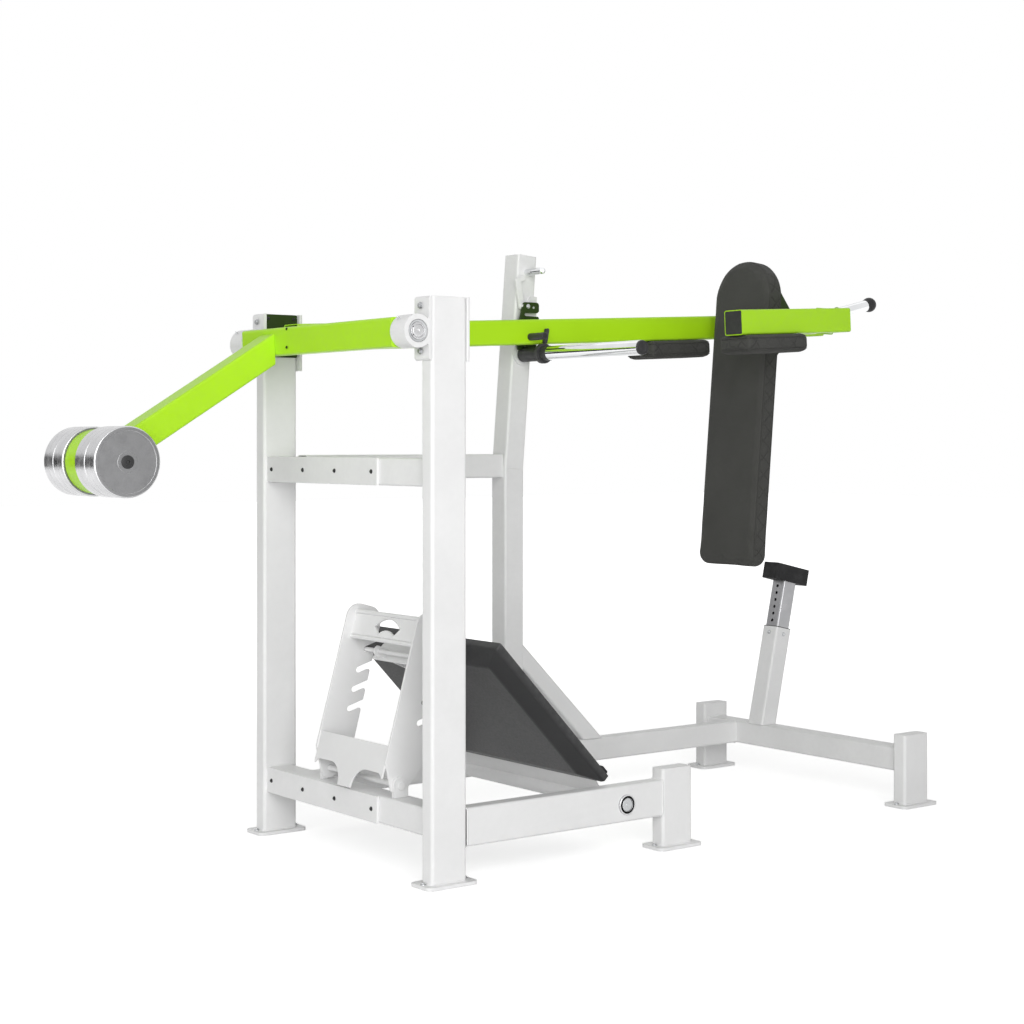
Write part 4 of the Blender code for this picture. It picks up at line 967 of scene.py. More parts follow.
class Pad:
    """Upholstered pad inflated by cloth simulation, with sewn edge seams."""

    def __init__(self, sizes: PadSizes, place: Matrix, palette: Palette) -> None:
        """Keep the sizes.

        Args:
            sizes: The pad's sizes.
            place: The pad's axes, with the origin at the middle of its foot on its front face.
            palette: The machine's materials.
        """
        self.sizes = sizes
        self.place = place
        self.palette = palette

    def outline(self, inward: float) -> Profile:
        """Return the pad's front view.

        Args:
            inward: Margin by which it is pulled in.

        Returns:
            Points of (across, along).
        """
        sizes = self.sizes
        half = sizes.width / 2 - inward
        foot = max(sizes.foot_corner - inward, 0.004)
        head = max(sizes.head_corner - inward, 0.004)
        points = arc((half - foot, inward + foot), foot, 270.0, 360.0, 8)
        points += arc((half - head, sizes.length - inward - head), head, 0.0, 90.0, 14)
        points += arc((head - half, sizes.length - inward - head), head, 90.0, 180.0, 14)
        points += arc((foot - half, inward + foot), foot, 180.0, 270.0, 8)
        return points

    def build(self) -> bpy.types.Object:
        """Build, inflate and seam the pad.

        Returns:
            The finished pad.
        """
        sizes = self.sizes
        mesh = Mesh()
        local = Matrix.Translation((sizes.thick / 2, 0.0, 0.0)) @ END_ON
        mesh.plate(self.outline(sizes.start), sizes.thick - 2 * sizes.start, local, round_by=0.010)
        pad = mesh.finish(sizes.name, self.palette.cover, Body.PENDULUM)
        even = pad.modifiers.new("voxels", 'REMESH')
        even.mode = 'VOXEL'
        even.voxel_size = sizes.voxel
        bake(pad)
        self.inflate(pad)
        self.crown(pad)
        level = pad.modifiers.new("levels", 'SUBSURF')
        level.levels = level.render_levels = 1
        bake(pad)
        self.sew(pad)
        bpy.context.view_layer.update()
        self.stitches(pad)
        pad.data.transform(self.place)
        pad.data.update()
        pad.data.shade_smooth()
        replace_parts(pad, sizes.node)
        return pad

    def inflate(self, pad: bpy.types.Object) -> None:
        """Blow the pad up as cloth and cap how far each point moves.

        Args:
            pad: The remeshed pad, in its own axes.
        """
        rest = [vert.co.copy() for vert in pad.data.vertices]
        cloth = pad.modifiers.new("cloth", 'CLOTH')
        cloth.settings.quality = 5
        cloth.settings.use_pressure = True
        cloth.settings.uniform_pressure_force = 4.0
        cloth.settings.effector_weights.gravity = 0.0
        cloth.point_cache.frame_start = 1
        cloth.point_cache.frame_end = 20
        scene = bpy.context.scene
        for step in range(1, 21):
            scene.frame_set(step)
        graph = bpy.context.evaluated_depsgraph_get()
        data = bpy.data.meshes.new_from_object(pad.evaluated_get(graph))
        pad.modifiers.clear()
        scene.frame_set(1)
        for before, vert in zip(rest, data.vertices):
            move = vert.co - before
            if move.length > self.sizes.cap:
                vert.co = before + move.normalized() * self.sizes.cap
        data.name = pad.name
        pad.data = data

    def crown(self, pad: bpy.types.Object) -> None:
        """Stretch the blown pad back to its width and length, and sit its back flat on the board.

        Args:
            pad: The blown pad, in its own axes.
        """
        sizes = self.sizes
        points = [vert.co for vert in pad.data.vertices]
        across = max(abs(point.y) for point in points)
        low, high = min(point.z for point in points), max(point.z for point in points)
        for vert in pad.data.vertices:
            vert.co.x = min(max(vert.co.x, -0.003), sizes.thick - 0.0005)
            vert.co.y *= sizes.width / 2 / across
            vert.co.z = (vert.co.z - low) * sizes.length / (high - low)

    def edge_distance(self, point: Vector) -> float:
        """Return how far a point lies inside the pad's outline, seen from the front.

        Args:
            point: Point in the pad's own axes.

        Returns:
            The distance, negative outside.
        """
        sizes = self.sizes
        across = abs(point.y)
        half = sizes.width / 2
        at_head = point.z > sizes.length / 2
        corner = sizes.head_corner if at_head else sizes.foot_corner
        along = sizes.length - point.z if at_head else point.z
        if across > half - corner and along < corner:
            return corner - math.hypot(across - (half - corner), corner - along)
        return min(half - across, along)

    def sew(self, pad: bpy.types.Object) -> None:
        """Pull the two edge seams in and mark the side panel for the quilting.

        Args:
            pad: The crowned pad, in its own axes.
        """
        sizes = self.sizes
        front, back = sizes.front_seam, sizes.thick - sizes.back_seam
        side = pad.data.attributes.new("side_panel", 'FLOAT', 'POINT')
        for vert in pad.data.vertices:
            inside = self.edge_distance(vert.co)
            near_side = 1.0 - min(max((inside - 0.002) / 0.006, 0.0), 1.0)
            between = 1.0 if front < vert.co.x < back else 0.0
            side.data[vert.index].value = near_side * between
            for seam in (front, back):
                near = abs(vert.co.x - seam)
                if near < sizes.seam_reach and inside < 0.012:
                    depth = sizes.seam_depth * (0.5 + 0.5 * math.cos(math.pi * near / sizes.seam_reach))
                    vert.co -= Vector((0.0, vert.normal.y, vert.normal.z)) * depth
        pad.data.update()

    def stitches(self, pad: bpy.types.Object) -> None:
        """Lay a thin welt in both seams and a row of stitches beside each, on the pad's own surface.

        Args:
            pad: The sewn pad, still in its own axes.
        """
        sizes = self.sizes
        surface = BVHTree.FromObject(pad, bpy.context.evaluated_depsgraph_get())
        cord = Mesh()
        thread = Mesh()
        for depth, step in ((sizes.front_seam, sizes.row), (sizes.thick - sizes.back_seam, -sizes.row)):
            cord.tube(self.on_surface(surface, depth, -0.0006), sizes.welt, 8, closed=True)
            self.row(thread, self.on_surface(surface, depth + step, 0.0001))
        cord.finish(sizes.name + "_welt", self.palette.cover, Body.PENDULUM)
        thread.finish(sizes.name + "_stitches", self.palette.thread, Body.PENDULUM)

    def on_surface(self, surface: BVHTree, depth: float, lift: float) -> list[Vector]:
        """Return a closed line round the pad, laid on its surface.

        Args:
            surface: The pad's surface.
            depth: Distance of the line from the front face.
            lift: Height of the line over the cover.

        Returns:
            Points in the row frame.
        """
        corners = [Vector((depth, across, along)) for across, along in self.outline(0.0)]
        line = []
        for start, end in zip(corners, corners[1:] + corners[:1]):
            count = max(1, round((end - start).length / 0.012))
            line += [start.lerp(end, index / count) for index in range(count)]
        laid = []
        for point in line:
            spot, normal, _, _ = surface.find_nearest(point)
            outward = Vector((0.0, normal.y, normal.z))
            laid.append(self.place @ (Vector((depth, spot.y, spot.z)) + outward.normalized() * lift))
        return laid

    @staticmethod
    def row(mesh: Mesh, path: Sequence[Vector], pitch: float = 0.0085, stitch: float = 0.0055) -> None:
        """Lay short threads end to end along a closed path.

        Args:
            mesh: Mesh that takes them.
            path: Points of the row.
            pitch: Distance from stitch to stitch.
            stitch: Length of a stitch.
        """
        legs = list(zip(path, list(path[1:]) + [path[0]]))
        spare = 0.0
        for start, end in legs:
            length = (end - start).length
            at = spare
            while at + stitch < length:
                first = start.lerp(end, at / length)
                last = start.lerp(end, (at + stitch) / length)
                mesh.tube((first, first.lerp(last, 0.5), last), 0.00055, 5)
                at += pitch
            spare = max(0.0, at - length) if at > length else 0.0


@dataclass(frozen=True)
class UpholsterySizes:
    """Sizes of the pads that their solids' boxes don't give."""

    back_lean: float = math.radians(5.06)
    back_thick: float = 0.070
    back_foot_corner: float = 0.045
    back_voxel: float = 0.006
    back_cap: float = 0.008
    shoulder_thick: float = 0.062
    shoulder_length: float = 0.290
    shoulder_corner: float = 0.016
    shoulder_voxel: float = 0.005
    shoulder_cap: float = 0.005


class Upholstery(Assembly):
    """Back pad and the two shoulder pads."""

    sizes = UpholsterySizes()

    def build(self) -> None:
        """Build the three pads from their solids' boxes."""
        self.back_pad()
        for side in ("near", "far"):
            self.shoulder_pad(side)

    def back_pad(self) -> None:
        """Build the long back pad, leaning with the arm."""
        low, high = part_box("back_pad")
        lean, thick = self.sizes.back_lean, self.sizes.back_thick
        width = high.y - low.y
        length = (high.z - low.z - thick * math.sin(lean)) / math.cos(lean)
        foot = Vector((low.x, (low.y + high.y) / 2, low.z + thick * math.sin(lean)))
        place = Matrix.Translation(foot) @ Matrix.Rotation(lean, 4, 'Y')
        sizes = PadSizes("BackPad", "back_pad", width, length, thick, self.sizes.back_foot_corner,
                         width / 2 - 0.001, self.sizes.back_voxel, self.sizes.back_cap)
        Pad(sizes, place, self.palette).build()

    def shoulder_pad(self, side: str) -> None:
        """Build a flat shoulder pad under its beam.

        Args:
            side: near or far.
        """
        node = "shoulder_pad_" + side
        low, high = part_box(node)
        thick, length, corner = self.sizes.shoulder_thick, self.sizes.shoulder_length, self.sizes.shoulder_corner
        axes = Matrix(((0, 0, 1, 0), (0, -1, 0, 0), (1, 0, 0, 0), (0, 0, 0, 1)))
        centred = Matrix.Translation((-thick / 2, 0.0, -length / 2))
        place = Matrix.Translation(middle_of(node)) @ Matrix.Rotation(-ARM_TILT, 4, 'Y') @ axes @ centred
        sizes = PadSizes("ShoulderPad_" + side, node, high.y - low.y, length, thick, corner, corner,
                         self.sizes.shoulder_voxel, self.sizes.shoulder_cap)
        Pad(sizes, place, self.palette).build()


@dataclass(frozen=True)
class DiscSizes:
    """Sizes of a counterweight disc, of the bolt through the four and of the arm's round end."""

    bore: float = 0.0165
    hub: float = 0.0300
    border: float = 0.0120
    chamfer: float = 0.0035
    recess: float = 0.0006
    groove: float = 0.0008
    socket: float = 0.0052
    shank: float = 0.0155
    end_share: float = 0.46
    end_chamfer: float = 0.0020
    end_gap: float = 0.0010


class Counterweights(Assembly):
    """Four turned discs on one bolt through the weight arm."""

    sizes = DiscSizes()

    def build(self) -> None:
        """Build the discs, the bolt and the arm's round end."""
        for index in range(1, 5):
            self.disc(index)
        self.bolt()
        self.arm_end()

    def arm_end(self) -> None:
        """Close the weight arm with a round end between the two pairs of discs."""
        low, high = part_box("weight_disc_2")
        middle = middle_of("weight_disc_2")
        foot = high.y + self.sizes.end_gap
        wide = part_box("weight_disc_3")[0].y - self.sizes.end_gap - foot
        mesh = Mesh()
        mesh.lathe(bar((high.z - low.z) * self.sizes.end_share, wide, self.sizes.end_chamfer),
                   facing((0, 1, 0), (middle.x, foot, middle.z)), 72)
        mesh.finish("WeightArmEnd", self.palette.lime, Body.PENDULUM)

    def disc(self, index: int) -> None:
        """Build one disc with chamfered rims and a shallow hub recess.

        Args:
            index: Number of the disc, from the open side.
        """
        sizes = self.sizes
        node = "weight_disc_{}".format(index)
        low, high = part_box(node)
        middle = middle_of(node)
        radius, wide = (high.z - low.z) / 2, high.y - low.y
        edge = radius - sizes.border
        half = [(sizes.bore, 0.0), (sizes.hub, 0.0), (sizes.hub + 0.0004, sizes.recess)]
        half += [(edge - 0.0005, sizes.recess), (edge, 0.0), (radius - sizes.chamfer, 0.0)]
        half += [(radius - 0.0010, 0.0012), (radius, sizes.chamfer), (radius, wide / 2 - sizes.groove)]
        profile = half + [(radius - sizes.recess, wide / 2)] + [(out, wide - up) for out, up in reversed(half)]
        mesh = Mesh()
        mesh.lathe(profile + half[:1], facing((0, 1, 0), (middle.x, low.y, middle.z)), 96)
        piece = mesh.finish("CounterweightDisc_{}".format(index), self.palette.disc, Body.PENDULUM)
        # the flat faces take the darker copy of the steel
        piece.data.materials.append(self.palette.disc_face.material)
        for face in piece.data.polygons:
            face.material_index = 1 if abs(face.normal.y) > 0.95 else 0
        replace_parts(piece, node)

    def bolt(self) -> None:
        """Build the bolt's countersunk head and its end on the far side."""
        socket, shank = self.sizes.socket, self.sizes.shank
        low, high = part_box("weight_bolt")
        middle = middle_of("weight_bolt")
        radius = (high.z - low.z) / 2
        mesh = Mesh()
        for face, out in ((low.y, 1.0), (high.y, -1.0)):
            profile = [(0.0, 0.0062), (socket, 0.0060), (socket, 0.0008), (socket + 0.0008, 0.0)]
            profile += [(radius - 0.0015, 0.0), (radius, 0.0015), (radius, 0.0040), (0.0, 0.0046)]
            mesh.lathe(profile, facing((0, out, 0), (middle.x, face, middle.z)), 40)
        inset = 0.004
        run = high.y - low.y - 2 * inset
        mesh.lathe([(0.0, 0.0), (shank, 0.0), (shank, run), (0.0, run)],
                   facing((0, 1, 0), (middle.x, low.y + inset, middle.z)), 32)
        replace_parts(mesh.finish("CounterweightBolt", self.palette.black, Body.PENDULUM), "weight_bolt")


@dataclass(frozen=True)
class BearingSizes:
    """Sizes of a bearing unit's details and of the dark green sheet painted as shade on the far upright's head."""

    seat_depth: float = 0.004
    seal: tuple[float, float, float] = (0.0250, 0.0310, 0.0036)
    collar: tuple[float, float, float] = (0.0182, 0.0244, 0.0055)
    shaft: float = 0.0177
    grub: float = 0.0020
    grub_circle: float = 0.0213
    grub_turns: tuple[float, float] = (150.0, 215.0)
    bolt: HexBolt = HexBolt(0.0125, 0.0050, 0.0098)
    bolt_inset: float = 0.026
    flange: float = 0.0145
    shade_sheet_foot: float = 1.509
    shade_sheet_thick: float = 0.002
    shade_sheet_screw: Screw = Screw(0.0040, 0.0022, 0.0050, 0.0018)
    screw_inset: float = 0.014


class Bearings(Assembly):
    """Pillow-block housings: flange bolts, inner rings, set screws and grease nipples."""

    sizes = BearingSizes()

    def build(self) -> None:
        """Build the details of both bearings."""
        for side, out in (("near", -1.0), ("far", 1.0)):
            self.ring(side, out)
            self.bolts(side)
        # the dark green sheet on the far upright's head is painted shade
        self.head_shade_sheet()

    def head_shade_sheet(self) -> None:
        """Build the dark green sheet on the inner face of the far upright's head: painted shade, standing in for the
        lime beam's dark reflection on the head.
        """
        sizes = self.sizes
        low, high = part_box("upright_far")
        sheet, inset = sizes.shade_sheet_thick, sizes.screw_inset
        height = high.z - sizes.shade_sheet_foot
        place = Matrix.Translation(((low.x + high.x) / 2, low.y - 0.0012, sizes.shade_sheet_foot + height / 2)) @ SIDE_ON
        mesh = Mesh()
        # painted shade: a dark green sheet where the head only shows the lime beam's dark reflection
        mesh.plate(rounded_box(high.x - low.x - 0.001, height - 0.002, 0.006), sheet, place, round_by=0.0007)
        mesh.finish("HeadShadeSheet", self.palette.green, Body.FRAME)
        # screws that hold the painted shade sheet
        screws = Mesh()
        for x in (low.x + inset, high.x - inset):
            sizes.shade_sheet_screw.add(screws, (x, low.y - 0.0022, high.z - inset), (0, -1, 0))
        screws.finish("HeadShadeSheetScrews", self.palette.black, Body.FRAME)

    def ring(self, side: str, out: float) -> None:
        """Build the seal, its collar, the shaft's end, the set screws and the grease nipple.

        Args:
            side: near or far.
            out: Outward direction along Y.
        """
        sizes = self.sizes
        low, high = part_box("bearing_housing_" + side)
        middle = middle_of("bearing_" + side)
        face = low.y if out < 0 else high.y
        seat = facing((0, out, 0), (middle.x, face - out * sizes.seat_depth, middle.z))
        end = [(0.0, 0.0036), (0.0040, 0.0036), (0.0056, 0.0050), (sizes.shaft - 0.0012, 0.0050)]
        end += [(sizes.shaft, 0.0040), (sizes.shaft, 0.0004), (0.0, 0.0)]
        turned = (
            ("BearingSeal_", hoop(*sizes.seal, (0.0006, 0.0008), (0.0012, 0.0010)), 48, "zinc", Body.FRAME),
            ("BearingCollar_", hoop(*sizes.collar, (0.0006, 0.0007), (0.0006, 0.0005)), 48, "steel", Body.FRAME),
            ("ShaftEnd_", end, 40, "steel", Body.PENDULUM),
        )
        for name, profile, steps, finish, body in turned:
            mesh = Mesh()
            mesh.lathe(profile, seat, steps)
            mesh.finish(name + side, getattr(self.palette, finish), body)
        grubs = Mesh()
        for turn in sizes.grub_turns:
            x, z = arc((middle.x, middle.z), sizes.grub_circle, turn, turn, 1)[0]
            grubs.lathe([(0.0, 0.0), (sizes.grub, 0.0), (sizes.grub, 0.0007), (0.0, 0.0004)],
                        facing((0, out, 0), (x, face + out * 0.0012, z)), 14)
        grubs.finish("BearingGrubScrews_" + side, self.palette.black, Body.FRAME)
        nipple = Mesh()
        foot = (low.x + 0.006, middle.y, middle.z + 0.034)
        nipple.lathe([(0.0, 0.0), (0.0038, 0.0), (0.0038, 0.0030), (0.0020, 0.0036), (0.0020, 0.0052),
                      (0.0028, 0.0064), (0.0022, 0.0080), (0.0, 0.0084)], facing((-0.70, 0.0, 0.70), foot), 16)
        nipple.finish("GreaseNipple_" + side, self.palette.zinc, Body.FRAME)

    def bolts(self, side: str) -> None:
        """Build the flange bolts and the nuts on the clamp plate.

        Args:
            side: near or far.
        """
        sizes = self.sizes
        low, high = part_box("bearing_housing_" + side)
        middle = (low.y + high.y) / 2
        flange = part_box("upright_" + side)[0].x - sizes.flange
        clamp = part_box("clamp_plate_" + side)[1].x
        mesh = Mesh()
        for z in (low.z + sizes.bolt_inset, high.z - sizes.bolt_inset):
            sizes.bolt.add(mesh, (flange, middle, z), (-1, 0, 0))
            sizes.bolt.add(mesh, (clamp, middle, z), (1, 0, 0))
        mesh.finish("BearingBolts_" + side, self.palette.zinc, Body.FRAME)


@dataclass(frozen=True)
class FrameTrimSizes:
    """Sizes of the frame's screws, floor bolts and of the bump stop's sleeve."""

    plate_screw: Screw = Screw(0.0050, 0.0030, 0.0066, 0.0022)
    plate_shares: tuple[float, ...] = (0.03, 0.36, 0.66, 0.97)
    plate_end: float = 0.010
    foot_bolt: HexBolt = HexBolt(0.0110, 0.0045, 0.0085)
    foot_inset: float = 0.015
    sleeve_screw: Screw = Screw(0.0058, 0.0045, 0.0082, 0.0025)
    sleeve_lean: float = math.radians(12.7)
    sleeve_foot_x: float = 1.2241
    screws_up: float = 0.338
    bushing_up: float = 0.3610
    bushing: float = 0.0735
    bushing_bore: float = 0.0652


class FrameTrim(Assembly):
    """Welds, screws and feet of the fixed frame."""

    sizes = FrameTrimSizes()
    POSTS = {"near": "upright_near", "far": "upright_far", "stub_near": "stub_post_near",
             "rear_near": "rear_post_near", "rear_far": "rear_post_far"}
    JOINTS = (
        ("crossbar_low", 1, "low"), ("crossbar_low", 1, "high"), ("crossbar_mid", 1, "low"),
        ("crossbar_mid", 1, "high"), ("near_rail", 0, "low"), ("near_rail", 0, "high"), ("far_rail", 0, "high"),
        ("far_mid_beam", 0, "high"), ("rear_crossbeam", 1, "low"), ("rear_crossbeam", 1, "high"),
    )

    def build(self) -> None:
        """Build the trim."""
        self.welds()
        self.plate_screws()
        self.foot_bolts()
        self.sleeve_screws()

    def welds(self) -> None:
        """Lay beads where tubes meet the posts and where the posts meet their feet."""
        bead = Bead()
        mesh = Mesh()
        inward = 0.0008
        for node, axis, end in self.JOINTS:
            low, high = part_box(node)
            at = low[axis] + inward if end == "low" else high[axis] - inward
            bead.add(mesh, seam_round(low, high, axis, at))
        for side, post in self.POSTS.items():
            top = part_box("foot_plate_" + side)[1].z
            bead.add(mesh, seam_round(*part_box(post), 2, top + 0.0010, 0.009))
        mesh.finish("FrameWelds", self.palette.white, Body.FRAME)

    def plate_screws(self) -> None:
        """Set the small screws on the two front plates."""
        end = self.sizes.plate_end
        mesh = Mesh()
        for node in ("crossbar_plate_low", "crossbar_plate_mid"):
            low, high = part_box(node)
            for share in self.sizes.plate_shares:
                y = low.y + end + (high.y - low.y - 2 * end) * share
                self.sizes.plate_screw.add(mesh, (low.x, y, (low.z + high.z) / 2), (-1, 0, 0))
        mesh.finish("PlateScrews", self.palette.black, Body.FRAME)

    def foot_bolts(self) -> None:
        """Set two floor bolts on every foot plate."""
        mesh = Mesh()
        for side in self.POSTS:
            low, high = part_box("foot_plate_" + side)
            for x in (low.x + self.sizes.foot_inset, high.x - self.sizes.foot_inset):
                self.sizes.foot_bolt.add(mesh, (x, (low.y + high.y) / 2, high.z), (0, 0, 1))
        mesh.finish("FloorBolts", self.palette.zinc, Body.FRAME)

    def sleeve_screws(self) -> None:
        """Set the two clamping screws near the top of the bump stop's sleeve, and its bushing."""
        sizes = self.sizes
        low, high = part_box("bumper_sleeve")
        lean = sizes.sleeve_lean
        along = Vector((math.sin(lean), 0.0, math.cos(lean)))
        out = Vector((-math.cos(lean), 0.0, math.sin(lean)))
        half = (high.y - low.y) / 2
        foot = Vector((sizes.sleeve_foot_x, (low.y + high.y) / 2, low.z))
        top = foot + along * sizes.screws_up
        mesh = Mesh()
        for way in (out, Vector((0.0, -1.0, 0.0))):
            sizes.sleeve_screw.add(mesh, top + way * half, way)
        mesh.finish("SleeveScrews", self.palette.zinc, Body.FRAME)
        bushing = Mesh()
        place = Matrix.Translation(foot + along * sizes.bushing_up) @ Matrix.Rotation(lean, 4, 'Y')
        bushing.plate(rounded_box(sizes.bushing, sizes.bushing, 0.006), 0.0034, place,
                      [rounded_box(sizes.bushing_bore, sizes.bushing_bore, 0.004)], 0.0008)
        bushing.finish("SleeveBushing", self.palette.rubber, Body.FRAME)


@dataclass(frozen=True)
class PendulumTrimSizes:
    """Sizes of the arm's band peg, end cap, horn and handle."""

    peg_along: float = 0.9415
    peg_up: float = -0.005
    peg_root: float = 0.0800
    peg_radius: float = 0.0122
    beam_height: float = 0.084
    cap: float = 0.0765
    cap_thick: float = 0.004
    horn_radius: float = 0.0240
    horn_root: float = 0.150
    screw: Screw = Screw(0.0036, 0.0018, 0.0046, 0.0016)
    screw_y: float = 0.1165
    handle_rise: float = math.radians(13.0)
    handle_length: float = 0.1645
    grip_radius: float = 0.0200
    grip_length: float = 0.1500
    neck: float = 0.1430
    ball_radius: float = 0.026


class PendulumTrim(Assembly):
    """Welds, end cap and band peg of the lime arm, the plate horn and the handle."""

    sizes = PendulumTrimSizes()

    def build(self) -> None:
        """Build the trim."""
        self.beam_cap()
        self.band_peg()
        self.horn()
        self.arm_welds()
        self.handle()

    def band_peg(self) -> None:
        """Build the dark sleeve over the resistance band peg."""
        sizes = self.sizes
        at = on_arm(sizes.peg_along, sizes.peg_up)
        at.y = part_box("main_arm")[0].y
        radius, root, soft = sizes.peg_radius, sizes.peg_root, 0.004
        profile = [(0.0, -0.0012)] + arc((radius - soft, 0.0028), soft, 270.0, 360.0, 5)
        mesh = Mesh()
        mesh.lathe(profile + [(radius, root - 0.0006), (0.0, root)], facing((0, 1, 0), at), 32)
        mesh.finish("BandPegSleeve", self.palette.black, Body.PENDULUM)

    def beam_cap(self) -> None:
        """Build the inset plastic cap in the short beam's open end."""
        sizes = self.sizes
        low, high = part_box("near_beam")
        place = Matrix.Translation((low.x + 0.0030, (low.y + high.y) / 2, low.z + sizes.beam_height / 2))
        mesh = Mesh()
        mesh.plate(rounded_box(sizes.cap, sizes.cap, 0.006), sizes.cap_thick,
                   place @ Matrix.Rotation(-ARM_TILT, 4, 'Y') @ END_ON, round_by=0.0012)
        mesh.finish("BeamCap", self.palette.black, Body.PENDULUM)

    def horn(self) -> None:
        """Build the chrome horn with a plug no wider than itself and a black sleeve at its root, painted shade for
        the dark patch there.
        """
        low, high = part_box("plate_horn")
        centre = middle_of("plate_horn")
        radius = self.sizes.horn_radius
        length = high.y - low.y
        root = length - self.sizes.horn_root
        seat = facing((0, 1, 0), (centre.x, low.y, centre.z))
        mesh = Mesh()
        mesh.lathe([(0.0, 0.010), (radius - 0.0030, 0.010), (radius - 0.0006, 0.0104), (radius, 0.011),
                    (radius, root), (0.0, root)], seat, 64)
        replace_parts(mesh.finish("PlateHorn", self.palette.chrome, Body.PENDULUM), "plate_horn")
        plug = Mesh()
        dome = arc((0.0, 0.036), 0.040, 296.0, 270.0, 8)
        profile = [(0.0, 0.012), (radius - 0.0004, 0.012), (radius - 0.0002, 0.0060), (radius - 0.0016, 0.0030)]
        plug.lathe(profile + [(x, max(y + 0.0045, 0.0006)) for x, y in dome if x < radius - 0.004], seat, 48)
        plug.finish("HornPlug", self.palette.black, Body.PENDULUM)
        # painted shade: a black sleeve where the horn's root only shows a dark patch
        sleeve = Mesh()
        wide = radius + 0.0012
        sleeve.lathe([(0.0, root), (radius + 0.0006, root), (wide, root + 0.0006), (wide, length - 0.001),
                      (0.0, length)], seat, 48)
        sleeve.finish("HornRootShade", self.palette.black, Body.PENDULUM)

    def arm_welds(self) -> None:
        """Lay the beads on the crossbeam's ends and set the two screws on the axle beam."""
        bead = Bead(0.0024, 0.0042)
        mesh = Mesh()
        low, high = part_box("carriage_crossbeam")
        for at in (low.y + 0.0006, high.y - 0.0006):
            bead.add(mesh, seam_round(low, high, 1, at))
        mesh.finish("CarriageWelds", self.palette.lime, Body.PENDULUM)
        low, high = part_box("axle_beam")
        screws = Mesh()
        for z in (low.z + 0.022, high.z - 0.010):
            self.sizes.screw.add(screws, (low.x, self.sizes.screw_y, z), (-1, 0, 0))
        # the screws take the dark green painted shade of the lime
        screws.finish("BeamScrews", self.palette.green, Body.PENDULUM)

    def handle(self) -> None:
        """Build the chrome handle with its black ball."""
        sizes = self.sizes
        low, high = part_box("handle_near")
        middle = Vector((high.x - sizes.ball_radius, (low.y + high.y) / 2, high.z - sizes.ball_radius))
        along = Vector((math.cos(sizes.handle_rise), 0.0, math.sin(sizes.handle_rise)))
        seat = facing(along, middle - along * sizes.handle_length)
        radius, length = sizes.grip_radius, sizes.grip_length
        grip = Mesh()
        grip.lathe([(0.0, 0.0), (radius + 0.0025, 0.0), (radius + 0.0025, 0.0030), (radius + 0.0004, 0.0036),
                    (radius, 0.0042), (radius, length), (radius - 0.0015, length + 0.0012),
                    (0.0, length + 0.0012)], seat, 40)
        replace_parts(grip.finish("HandleGrip", self.palette.chrome, Body.PENDULUM), "handle_near")
        ball = Mesh()
        profile = [(0.0, sizes.neck), (radius + 0.0007, sizes.neck), (radius + 0.0012, sizes.neck + 0.0010)]
        for x, y in arc((0.0, sizes.handle_length), sizes.ball_radius - 0.0003, -34.0, 90.0, 16):
            profile.append((max(x, 0.0), y))
        ball.lathe(profile, seat, 40)
        ball.finish("HandleBall", self.palette.black, Body.PENDULUM)


@dataclass(frozen=True)
class CatchSizes:
    """Sizes of the catch plate and of its hook, which stands open at rest."""

    pivot_along: float = 0.9835
    pivot_up: float = 0.104
    rest: float = math.radians(97.0)
    reach: float = 0.100
    half: float = 0.011
    nose: float = 0.008
    nose_drop: float = 0.033
    thick: float = 0.0076


